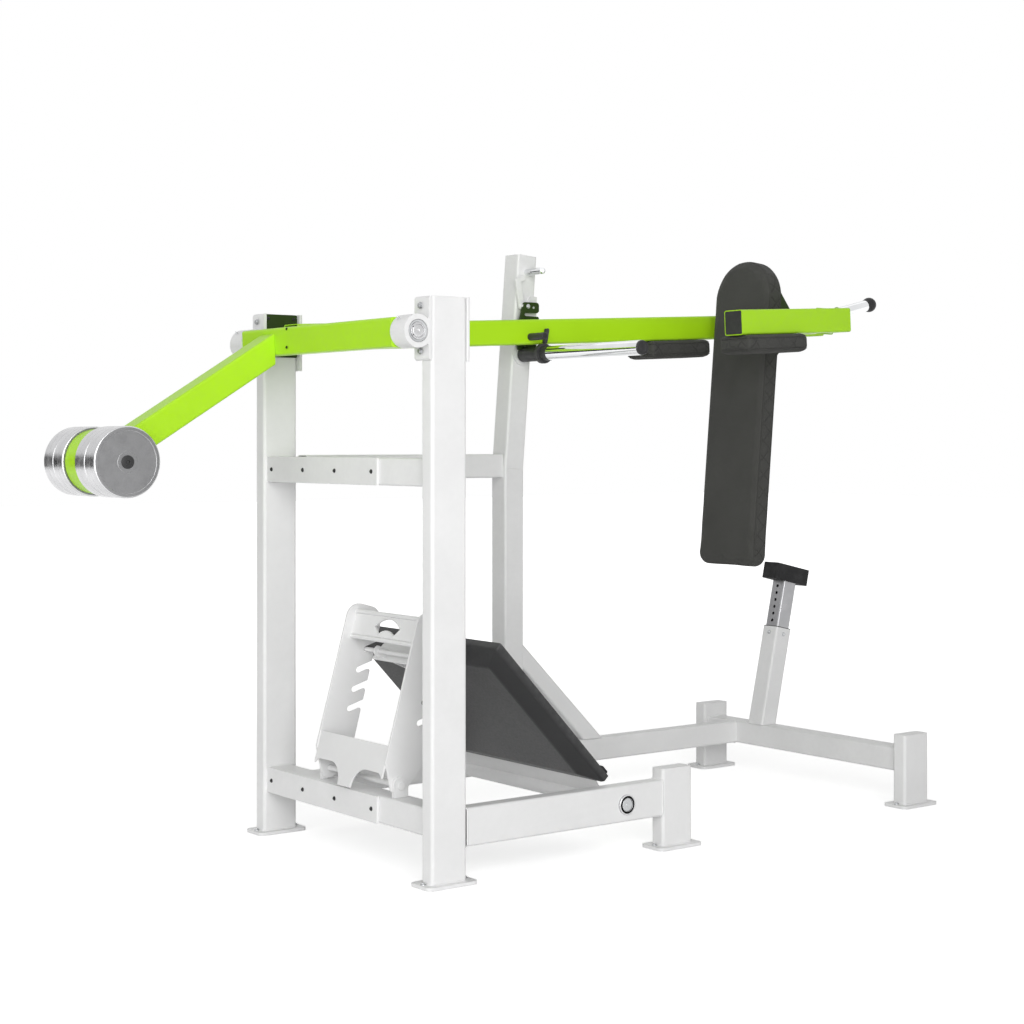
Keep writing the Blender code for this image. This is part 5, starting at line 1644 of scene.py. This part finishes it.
class Catch(Assembly):
    """Catch plate in the dark green painted shade, with its bolts, and the hook that closes over the stop peg."""

    sizes = CatchSizes()

    def __init__(self, palette: Palette) -> None:
        """Keep the finishes and work out the places.

        Args:
            palette: The machine's finishes.
        """
        super().__init__(palette)
        sizes = self.sizes
        self.pivot = on_arm(sizes.pivot_along, sizes.pivot_up)

    def build(self) -> None:
        """Build the plate, the bolts and the hook."""
        self.plate()
        self.bolts()
        self.hook()

    def plate(self) -> None:
        """Cut the plate: rounded head, a notch at the stop peg's side and a foot round the horn."""
        low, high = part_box("catch_plate")
        horn_low, horn_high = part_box("plate_horn")
        horn = ((horn_low.x + horn_high.x) / 2, (horn_low.z + horn_high.z) / 2)
        right, top, foot = high.x, high.z, low.z + 0.001
        clear = 0.0265
        half = math.sqrt(clear ** 2 - (foot - horn[1]) ** 2)
        start = math.degrees(math.atan2(foot - horn[1], half))
        outline = [(low.x + 0.007, foot + 0.046), (low.x + 0.036, top - 0.008)]
        outline += arc((low.x + 0.046, top - 0.008), 0.008, 170.0, 90.0, 5)
        outline += arc((right - 0.010, top - 0.010), 0.010, 90.0, 0.0, 6)
        outline += [(right, top - 0.030), (right - 0.007, top - 0.036)]
        outline += arc((low.x + 0.048, top - 0.042), 0.005, 90.0, 270.0, 6)
        outline += [(right - 0.004, top - 0.048), (right, top - 0.054), (right, foot + 0.040)]
        outline += [(right - 0.018, foot), (horn[0] + half, foot)]
        outline += arc(horn, clear, start, 180.0 - start, 8)
        outline += [(low.x + 0.016, foot)]
        mesh = Mesh()
        middle = (low.y + high.y) / 2
        place = Matrix.Translation((0.0, middle, 0.0)) @ SIDE_ON
        mesh.plate(list(reversed(outline)), high.y - low.y - 0.0004, place, round_by=0.0009)
        # the plate takes the dark green painted shade
        piece = mesh.finish("CatchPlate", self.palette.green, Body.PENDULUM)
        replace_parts(piece, "catch_plate")

    def bolts(self) -> None:
        """Set the pivot bolt's light head and the small screw beside it."""
        low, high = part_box("catch_plate")
        mesh = Mesh()
        Screw(0.0062, 0.0032, 0.0078, 0.0020).add(mesh, (low.x + 0.057, low.y, high.z - 0.014), (0, -1, 0))
        Screw(0.0034, 0.0016, 0.0040, 0.0014).add(mesh, (low.x + 0.080, low.y, high.z - 0.018), (0, -1, 0))
        mesh.finish("CatchBolts", self.palette.zinc, Body.PENDULUM)

    def hook(self) -> None:
        """Cut the hook and its pivot pin."""
        sizes = self.sizes
        low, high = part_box("catch_hook")
        turned = sizes.rest + ARM_TILT
        along = Vector((math.cos(turned), 0.0, math.sin(turned)))
        up = Vector((-math.sin(turned), 0.0, math.cos(turned)))
        outline = arc((0.0, 0.0), sizes.half, 90.0, 270.0, 12)
        outline.append((sizes.reach - 2 * sizes.nose - 0.006, -sizes.half))
        outline += arc((sizes.reach - 2 * sizes.nose - 0.006, -sizes.half - 0.004), 0.004, 90.0, 0.0, 4)
        outline += arc((sizes.reach - sizes.nose, sizes.nose - sizes.nose_drop), sizes.nose, 180.0, 360.0, 10)
        outline += arc((sizes.reach - 0.014, sizes.half - 0.014), 0.014, 0.0, 90.0, 6)
        mesh = Mesh()
        face = high.y - sizes.thick / 2
        turn = Matrix((along, up, Vector((0, -1, 0)))).transposed().to_4x4()
        mesh.plate(outline, sizes.thick, Matrix.Translation((self.pivot.x, face, self.pivot.z)) @ turn,
                   round_by=0.0012)
        mesh.lathe([(0.0, 0.0), (0.0046, 0.0), (0.0048, 0.0004), (0.0048, high.y - low.y - 0.0005),
                    (0.0, high.y - low.y - 0.0005)], facing((0, 1, 0), (self.pivot.x, low.y, self.pivot.z)), 20)
        piece = mesh.finish("CatchHook", self.palette.white, Body.CATCH)
        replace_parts(piece, "catch_hook")


@dataclass(frozen=True)
class PanSizes:
    """Sizes of the footplate's pan in its own axes: X down the slope, Y across, Z out of the user's side."""

    length: float = 0.590
    width: float = 0.790
    lip: float = 0.024
    depth: float = 0.028
    bevel: float = 0.058
    sheet: float = 0.004
    slope: float = math.radians(46.4)
    rod_x: float = -0.59386
    rod_z: float = 0.600
    rod_radius: float = 0.0070
    rod_length: float = 0.404
    arm_spread: float = 0.115
    arm_thick: float = 0.008
    tie_width: float = 0.350
    tie_height: float = 0.066
    ribs: int = 24


class Footplate(Assembly):
    """Pressed footplate pan, its short arms with the prop rod, and the hinge tube."""

    sizes = PanSizes()

    def __init__(self, palette: Palette) -> None:
        """Keep the finishes and work out the places.

        Args:
            palette: The machine's finishes.
        """
        super().__init__(palette)
        sizes = self.sizes
        self.down = Vector((math.cos(sizes.slope), 0.0, -math.sin(sizes.slope)))
        self.out = Vector((math.sin(sizes.slope), 0.0, math.cos(sizes.slope)))
        self.centre = middle_of("footplate_tray")

    def build(self) -> None:
        """Build the footplate."""
        self.pan()
        self.grip()
        self.carrier()

    def axes(self, along: float = 0.0, height: float = 0.0, across: float = 0.0) -> Matrix:
        """Return the pan's axes, moved from its middle.

        Args:
            along: Distance down the slope.
            height: Distance to the user's side.
            across: Distance to the main arm's side.

        Returns:
            The axes.
        """
        at = self.centre + self.down * along + self.out * height + Vector((0.0, across, 0.0))
        return Matrix.Translation(at) @ Matrix((self.down, Vector((0, 1, 0)), self.out)).transposed().to_4x4()

    def pan(self) -> None:
        """Press the pan: a flat floor bulging to the ladder's side, sloped sides and a lip."""
        sizes = self.sizes
        mesh = Mesh()
        made = bmesh.ops.create_grid(mesh.work, x_segments=1, y_segments=1, size=0.5)["verts"]
        bmesh.ops.scale(mesh.work, vec=(sizes.length, sizes.width, 1.0), verts=made)
        floor = mesh.work.faces[:]
        lip = bmesh.ops.extrude_edge_only(mesh.work, edges=mesh.work.edges[:])
        raised = [item for item in lip["geom"] if isinstance(item, bmesh.types.BMVert)]
        bmesh.ops.translate(mesh.work, vec=(0, 0, sizes.lip), verts=raised)
        bmesh.ops.inset_region(mesh.work, faces=floor, thickness=sizes.bevel, depth=-sizes.depth,
                               use_even_offset=True)
        bmesh.ops.recalc_face_normals(mesh.work, faces=mesh.work.faces)
        bends = [edge for edge in mesh.work.edges if len(edge.link_faces) == 2]
        bmesh.ops.bevel(mesh.work, geom=bends, offset=0.006, segments=3, profile=0.5, affect='EDGES', material=-1)
        bmesh.ops.solidify(mesh.work, geom=mesh.work.faces[:], thickness=sizes.sheet)
        mesh.settle(self.axes(height=-sizes.sheet))
        piece = mesh.finish("FootplatePan", self.palette.black, Body.FOOTPLATE)
        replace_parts(piece, "footplate_tray", "footplate_frame", "heel_bar")

    def grip(self) -> None:
        """Lay the ribbed rubber mat in the pan and its heel bar."""
        sizes = self.sizes
        mat = Mesh()
        inner = sizes.width - 2 * sizes.bevel - 0.020
        run = sizes.length - 2 * sizes.bevel - 0.020
        seat = -sizes.depth
        mat.block((0, 0, 0), (run, inner, 0.004), 0.0012)
        for index in range(sizes.ribs):
            along = -run / 2 + run * (index + 0.5) / sizes.ribs
            mat.block((along, 0.0, 0.003), (run / sizes.ribs * 0.55, inner - 0.012, 0.003), 0.0009, 1)
        mat.settle(self.axes(height=seat + 0.0022))
        mat.finish("FootplateMat", self.palette.rubber, Body.FOOTPLATE)
        bar = Mesh()
        bar.block((0, 0, 0), (0.030, sizes.width - 0.016, 0.016), 0.004, 3)
        bar.settle(self.axes(sizes.length / 2 - 0.021, sizes.lip))
        bar.finish("HeelBar", self.palette.rubber, Body.FOOTPLATE)

    def carrier(self) -> None:
        """Build the hinge tube, the folded strip to the pan's foot, the short arms and the prop rod."""
        sizes = self.sizes
        low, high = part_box("footplate_frame")
        hinge = middle_of("footplate_axle")
        mesh = Mesh()
        length = high.y - low.y
        mesh.lathe([(0.0166, 0.0), (0.0255, 0.0), (0.0260, 0.0006), (0.0260, length - 0.0006), (0.0255, length),
                    (0.0166, length), (0.0166, 0.0)], facing((0, 1, 0), (hinge.x, low.y, hinge.z)), 32)
        rod = Vector((sizes.rod_x, middle_of("ladder").y, sizes.rod_z))
        half = Vector((0.0, sizes.rod_length / 2, 0.0))
        mesh.lathe(bar(sizes.rod_radius, sizes.rod_length, 0.0006), facing((0, 1, 0), rod - half), 24)
        self.arms(mesh, rod)
        self.hinge_strip(mesh, hinge)
        mesh.finish("FootplateCarrier", self.palette.white, Body.FOOTPLATE)

    def arms(self, mesh: Mesh, rod: Vector) -> None:
        """Add the two arms from the pan's head to the prop rod and the plate that ties them.

        Args:
            mesh: Mesh that takes them.
            rod: Middle of the prop rod.
        """
        sizes = self.sizes
        under = -sizes.sheet - sizes.depth - 0.0003
        head = -sizes.length / 2
        offset = rod - self.centre
        tip = (offset.dot(self.down), offset.dot(self.out))
        nose = arc(tip, 0.018, 330.0, 150.0, 10)
        outline = [(head + sizes.bevel + 0.010, under), (head + 0.150, under)] + nose
        across = rod.y - self.centre.y
        for side in (-1.0, 1.0):
            place = self.axes(across=across + side * sizes.arm_spread) @ SIDE_ON
            mesh.plate(outline, sizes.arm_thick, place, round_by=0.001)
        place = self.axes(head + 0.016, under - 0.030, across) @ END_ON
        mesh.plate(rounded_box(sizes.tie_width, sizes.tie_height, 0.008), 0.006, place, round_by=0.0011)

    def hinge_strip(self, mesh: Mesh, hinge: Vector) -> None:
        """Add the folded strip from the hinge tube to the pan's foot.

        Args:
            mesh: Mesh that takes it.
            hinge: Middle of the hinge tube.
        """
        sizes = self.sizes
        offset = hinge - self.centre
        at = Vector((offset.dot(self.down), offset.dot(self.out)))
        top = Vector((sizes.length / 2 - 0.006, -0.0044))
        run = (at - top).normalized()
        side = Vector((-run.y, run.x)) * 0.0025
        end = at - run * 0.024
        outline = [tuple(top - side), tuple(end - side), tuple(end + side), tuple(top + side)]
        low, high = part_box("footplate_frame")
        place = self.axes(across=(low.y + high.y) / 2 - self.centre.y) @ SIDE_ON
        mesh.plate(outline, high.y - low.y - 0.004, place, round_by=0.0008)


@dataclass(frozen=True)
class LadderSizes:
    """Sizes of the notched ladder, across and along its side plates."""

    pivot_z: float = 0.247
    lean: float = math.radians(15.5)
    width: float = 0.380
    plate: float = 0.008
    half: float = 0.0635
    length: float = 0.508
    foot: float = 0.030
    head: float = 0.045
    slot: float = 0.009
    slot_turn: float = 32.5
    seat: tuple[float, float] = (0.0329, 0.3754)
    pitch: float = 0.061
    count: int = 4
    deeper: float = 0.012
    nose: float = 0.0065


class Ladder(Assembly):
    """Notched ladder with hooked slots, hand plate, arched bridge and pivot pin, and the axle's boss."""

    sizes = LadderSizes()

    def __init__(self, palette: Palette) -> None:
        """Keep the finishes and work out the places.

        Args:
            palette: The machine's finishes.
        """
        super().__init__(palette)
        sizes = self.sizes
        self.pivot = Vector((middle_of("ladder_lug_near").x, middle_of("ladder").y, sizes.pivot_z))
        self.across = Vector((math.cos(sizes.lean), 0.0, -math.sin(sizes.lean)))
        self.along = Vector((math.sin(sizes.lean), 0.0, math.cos(sizes.lean)))

    def build(self) -> None:
        """Build the ladder, its pin heads and the boss."""
        sizes = self.sizes
        mesh = Mesh()
        for side in (-1.0, 1.0):
            mesh.plate(self.side_outline(), sizes.plate, self.side_place(side * sizes.width / 2), round_by=0.0011)
        for along in (sizes.length - 0.026, sizes.length - 0.104):
            self.rod(mesh, (-0.030, along), 0.0068, sizes.width)
        self.rod(mesh, (0.0, 0.0), 0.0088, 0.418)
        self.hand_plate(mesh)
        self.bridge(mesh)
        piece = mesh.finish("NotchedLadder", self.palette.white, Body.LADDER)
        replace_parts(piece, "ladder")
        self.pin_heads()
        self.boss()

    def side_place(self, shift: float) -> Matrix:
        """Return the axes of a side plate."""
        turn = Matrix((self.across, self.along, Vector((0, -1, 0)))).transposed().to_4x4()
        return Matrix.Translation(self.pivot + Vector((0.0, shift, 0.0))) @ turn

    def cross_place(self, across: float, along: float) -> Matrix:
        """Return the axes of a cross plate: X over to the main arm's side, Y up the ladder."""
        at = self.pivot + self.across * across + self.along * along
        return Matrix.Translation(at) @ Matrix((Vector((0, 1, 0)), self.along, self.across)).transposed().to_4x4()

    def side_outline(self) -> Profile:
        """Draw a side plate with its hooked slots along the front edge.

        Returns:
            Its outline as (across, along).
        """
        sizes = self.sizes
        turn = math.radians(sizes.slot_turn)
        way = (math.cos(turn), math.sin(turn))
        points = arc((0.0, 0.0), sizes.foot, 215.0, 330.0, 12)
        points.append((sizes.half, 0.060))
        for index in reversed(range(sizes.count)):
            deeper = sizes.deeper if index else 0.0
            centre = (sizes.seat[0] - deeper * way[0], sizes.seat[1] - sizes.pitch * index - deeper * way[1])
            reach = (sizes.half - centre[0] - sizes.slot * way[1]) / way[0]
            tip = (sizes.half, centre[1] - sizes.slot * way[0] + reach * way[1])
            half_angle = (math.pi / 2 - turn) / 2
            away = sizes.nose / math.sin(half_angle)
            bisector = Vector((-way[0], -1.0 - way[1])).normalized()
            points += arc((tip[0] + bisector.x * away, tip[1] + bisector.y * away), sizes.nose, 0.0,
                          90.0 + sizes.slot_turn, 6)
            points += arc(centre, sizes.slot, 270.0 + sizes.slot_turn, 90.0 + sizes.slot_turn, 10)
            reach = (sizes.half - centre[0] + sizes.slot * way[1]) / way[0]
            points.append((sizes.half, centre[1] + sizes.slot * way[0] + reach * way[1]))
        points += arc((sizes.half - sizes.head, sizes.length - sizes.head), sizes.head, 0.0, 90.0, 10)
        points += arc((sizes.head - sizes.half, sizes.length - sizes.head), sizes.head, 90.0, 180.0, 10)
        points.append((-sizes.half, 0.055))
        return points

    def rod(self, mesh: Mesh, place: tuple[float, float], radius: float, span: float) -> None:
        """Add a cross rod with chamfered ends.

        Args:
            mesh: Mesh that takes it.
            place: Its place across and along the ladder.
            radius: Its radius.
            span: Its length.
        """
        at = self.pivot + self.across * place[0] + self.along * place[1] - Vector((0.0, span / 2, 0.0))
        mesh.lathe(bar(radius, span, 0.0008), facing((0, 1, 0), at), 24)

    def hand_plate(self, mesh: Mesh) -> None:
        """Add the cross plate with its curved hand hole and the rolled rim round it.

        Args:
            mesh: Mesh that takes it.
        """
        sizes = self.sizes
        centre = (0.0, -0.074)
        hole = arc(centre, 0.101, 134.0, 46.0, 18) + arc(centre, 0.064, 50.0, 130.0, 14)
        place = self.cross_place(-0.030, sizes.length - 0.065)
        mesh.plate(rounded_box(sizes.width - 0.006, 0.064, 0.003, 3), 0.004, place, [hole], 0.0008)
        for side in (-0.0022, 0.0022):
            rim = [place @ Vector((across, up, side)) for across, up in hole]
            mesh.tube(rim, 0.0019, 8, closed=True)

    def bridge(self, mesh: Mesh) -> None:
        """Add the tie plate whose legs stand between two arches.

        Args:
            mesh: Mesh that takes it.
        """
        sizes = self.sizes
        half = sizes.width / 2 - 0.003
        low, high, arch, leg = -0.040, 0.104, 0.062, 0.034
        peak, soft = low + arch, 0.030
        outline = [(half, high), (-half, high), (-half, peak - 0.014)]
        outline += arc((-half + soft, peak - soft), soft, 150.0, 90.0, 6)
        outline += arc((-leg - arch, low), arch, 90.0, 0.0, 12) + arc((leg + arch, low), arch, 180.0, 90.0, 12)
        outline += arc((half - soft, peak - soft), soft, 90.0, 30.0, 6)
        outline.append((half, peak - 0.014))
        mesh.plate(outline, 0.006, self.cross_place(0.006 - sizes.half, 0.0), round_by=0.0011)

    def pin_heads(self) -> None:
        """Build the white ring heads of the pivot pin, with black discs in their bores as painted shade."""
        heads = Mesh()
        bores = Mesh()
        for side, out in (("near", -1.0), ("far", 1.0)):
            low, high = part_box("ladder_lug_" + side)
            face = low.y if out < 0 else high.y
            seat = facing((0, out, 0), (self.pivot.x, face + out * 0.0004, self.pivot.z))
            heads.lathe(hoop(0.0058, 0.0126, 0.0044, (0.0010, 0.0010), (0.0008, 0.0008), (0.0006, 0.0006)), seat, 32)
            # painted shade: a black disc inside each bore
            bores.lathe([(0.0, 0.0), (0.0057, 0.0), (0.0057, 0.0016), (0.0, 0.0016)], seat, 24)
        heads.finish("LadderPinHeads", self.palette.white, Body.LADDER)
        bores.finish("LadderPinBoreShade", self.palette.black, Body.LADDER)

    def boss(self) -> None:
        """Build the ring and the light disc on the footplate axle's head."""
        middle = middle_of("footplate_axle")
        seat = facing((0, -1, 0), (middle.x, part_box("footplate_axle")[0].y + 0.0030, middle.z))
        ring = Mesh()
        ring.lathe(hoop(0.0195, 0.0276, 0.0030, (0.0010, 0.0008), (0.0010, 0.0010), (0.0008, 0.0010)), seat, 48)
        ring.finish("AxleRing", self.palette.stem, Body.FRAME)
        disc = Mesh()
        disc.lathe([(0.0, 0.0026), (0.0050, 0.0026), (0.0056, 0.0020), (0.0064, 0.0026), (0.0172, 0.0026),
                    (0.0186, 0.0016), (0.0186, 0.0), (0.0, 0.0)], seat, 40)
        disc.finish("AxleDisc", self.palette.zinc, Body.FRAME)


class Studio:
    """Pale floor, soft lights and the photograph's camera."""

    PICTURE = 1024
    EYE = (-3.77866, -4.84830, 1.238)
    AHEAD = (0.603, 0.797)
    FOCAL_PIXELS = 1897.0
    HORIZON_ROW = 443.0
    PAPER = 0.60
    AMBIENT = 0.30

    def build(self) -> None:
        """Build the floor, the world, the lights and the camera."""
        self.floor()
        self.world()
        self.lights()
        self.dark_card()
        self.camera()

    @staticmethod
    def sheet(name: str, segments: int, half: Point) -> bpy.types.Object:
        """Lay a flat sheet round the origin.

        Args:
            name: Its name.
            segments: Divisions each way.
            half: Half its length and width.

        Returns:
            The sheet.
        """
        mesh = bmesh.new()
        bmesh.ops.create_grid(mesh, x_segments=segments, y_segments=segments, size=1.0)
        bmesh.ops.scale(mesh, vec=(*half, 1.0), verts=mesh.verts)
        data = bpy.data.meshes.new(name)
        mesh.to_mesh(data)
        mesh.free()
        sheet = bpy.data.objects.new(name, data)
        bpy.context.scene.collection.objects.link(sheet)
        return sheet

    def dark_card(self) -> None:
        """Stand a dark card to the left, which only the polished metal sees."""
        card = self.sheet("DarkCard", 1, (3.0, 0.85))
        card.matrix_world = facing((0.62, -0.78, 0.0), (-4.9, 4.9, 1.16))
        for sight in ("camera", "diffuse", "shadow", "transmission", "volume_scatter"):
            setattr(card, "visible_" + sight, False)
        nodes = Nodes("CardFelt")
        nodes.shader.inputs["Base Color"].default_value = (0.02, 0.02, 0.02, 1.0)
        nodes.shader.inputs["Roughness"].default_value = 1.0
        card.data.materials.append(nodes.material)

    def floor(self) -> None:
        """Lay a pale floor that keeps the contact shadow."""
        floor = self.sheet("StudioFloor", 8, (30.0, 30.0))
        floor.location.z = -0.001
        nodes = Nodes("FloorPaper")
        nodes.shader.inputs["Base Color"].default_value = (0.80, 0.80, 0.80, 1.0)
        nodes.shader.inputs["Roughness"].default_value = 0.9
        nodes.shader.inputs["Emission Color"].default_value = (1.0, 1.0, 1.0, 1.0)
        path = nodes.add("LightPath")
        shown = nodes.math("ADD", path.outputs["Is Camera Ray"], path.outputs["Is Glossy Ray"])
        shown = nodes.math("ADD", shown, path.outputs["Is Transmission Ray"])
        away = nodes.add("VectorMath", {"operation": 'LENGTH'})
        nodes.join(nodes.place(), away.inputs[0])
        paper = nodes.remap(away.outputs["Value"], 1.8, 5.0, self.PAPER, 1.0)
        nodes.join(nodes.math("MULTIPLY", shown, paper), nodes.shader.inputs["Emission Strength"])
        floor.data.materials.append(nodes.material)

    def world(self) -> None:
        """Light the scene evenly and show white to the camera."""
        world = bpy.data.worlds.new("Studio")
        bpy.context.scene.world = world
        world.use_nodes = True
        tree = world.node_tree
        soft = tree.nodes["Background"]
        soft.inputs["Color"].default_value = (1.0, 1.0, 1.0, 1.0)
        soft.inputs["Strength"].default_value = self.AMBIENT
        white = tree.nodes.new("ShaderNodeBackground")
        white.inputs["Color"].default_value = (1.0, 1.0, 1.0, 1.0)
        white.inputs["Strength"].default_value = 1.0
        path = tree.nodes.new("ShaderNodeLightPath")
        seen = path.outputs["Is Camera Ray"]
        for kind in ("Is Glossy Ray", "Is Transmission Ray"):
            more = tree.nodes.new("ShaderNodeMath")
            more.operation = 'ADD'
            more.use_clamp = True
            tree.links.new(seen, more.inputs[0])
            tree.links.new(path.outputs[kind], more.inputs[1])
            seen = more.outputs["Value"]
        mix = tree.nodes.new("ShaderNodeMixShader")
        tree.links.new(seen, mix.inputs[0])
        tree.links.new(soft.outputs["Background"], mix.inputs[1])
        tree.links.new(white.outputs["Background"], mix.inputs[2])
        tree.links.new(mix.outputs["Shader"], tree.nodes["World Output"].inputs["Surface"])

    def lights(self) -> None:
        """Hang three large soft lights, the key from the camera's side."""
        self.panel("Key", (-3.6, -5.8, 2.6), (0.0, 0.0, 0.8), 5.0, 330.0)
        self.panel("Side", (-6.0, -0.5, 2.0), (0.0, 0.0, 0.8), 3.5, 62.0)
        self.panel("Top", (0.5, 0.5, 4.6), (0.0, 0.0, 0.0), 4.5, 20.0)

    def panel(self, name: str, at: Point, to: Point, size: float, watts: float) -> None:
        """Hang one square light.

        Args:
            name: Its name.
            at: Its place.
            to: The point it faces.
            size: Its side length.
            watts: Its power.
        """
        data = bpy.data.lights.new(name, 'AREA')
        data.size = size
        data.energy = watts
        light = bpy.data.objects.new(name, data)
        light.location = at
        light.rotation_euler = (Vector(at) - Vector(to)).to_track_quat('Z', 'Y').to_euler()
        bpy.context.scene.collection.objects.link(light)

    def camera(self) -> None:
        """Set the camera that was fitted to the photograph."""
        data = bpy.data.cameras.new("PhotoCamera")
        data.sensor_width = 36.0
        data.lens = self.FOCAL_PIXELS / self.PICTURE * data.sensor_width
        data.shift_y = (self.HORIZON_ROW - self.PICTURE / 2) / self.PICTURE
        data.clip_end = 100.0
        camera = bpy.data.objects.new("PhotoCamera", data)
        ahead = Vector((*self.AHEAD, 0.0)).normalized()
        right = ahead.cross(Vector((0, 0, 1)))
        turn = Matrix((right, Vector((0, 0, 1)), -ahead)).transposed().to_4x4()
        camera.matrix_world = Matrix.Translation(self.EYE) @ turn
        bpy.context.scene.collection.objects.link(camera)
        scene = bpy.context.scene
        scene.camera = camera
        scene.view_settings.view_transform = 'Standard'


def main() -> None:
    """Build every sub-assembly in order."""
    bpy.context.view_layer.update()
    axis = middle_of("weight_disc_1")
    palette = Palette.make((axis.x, axis.z))
    Carried(palette).build()
    for assembly in (FrameTrim, Bearings, Counterweights, PendulumTrim, Catch, Ladder, Footplate, Upholstery):
        LOG.info("assembly %s", assembly.__name__)
        assembly(palette).build()
    Studio().build()


if __name__ == "__main__":
    main()
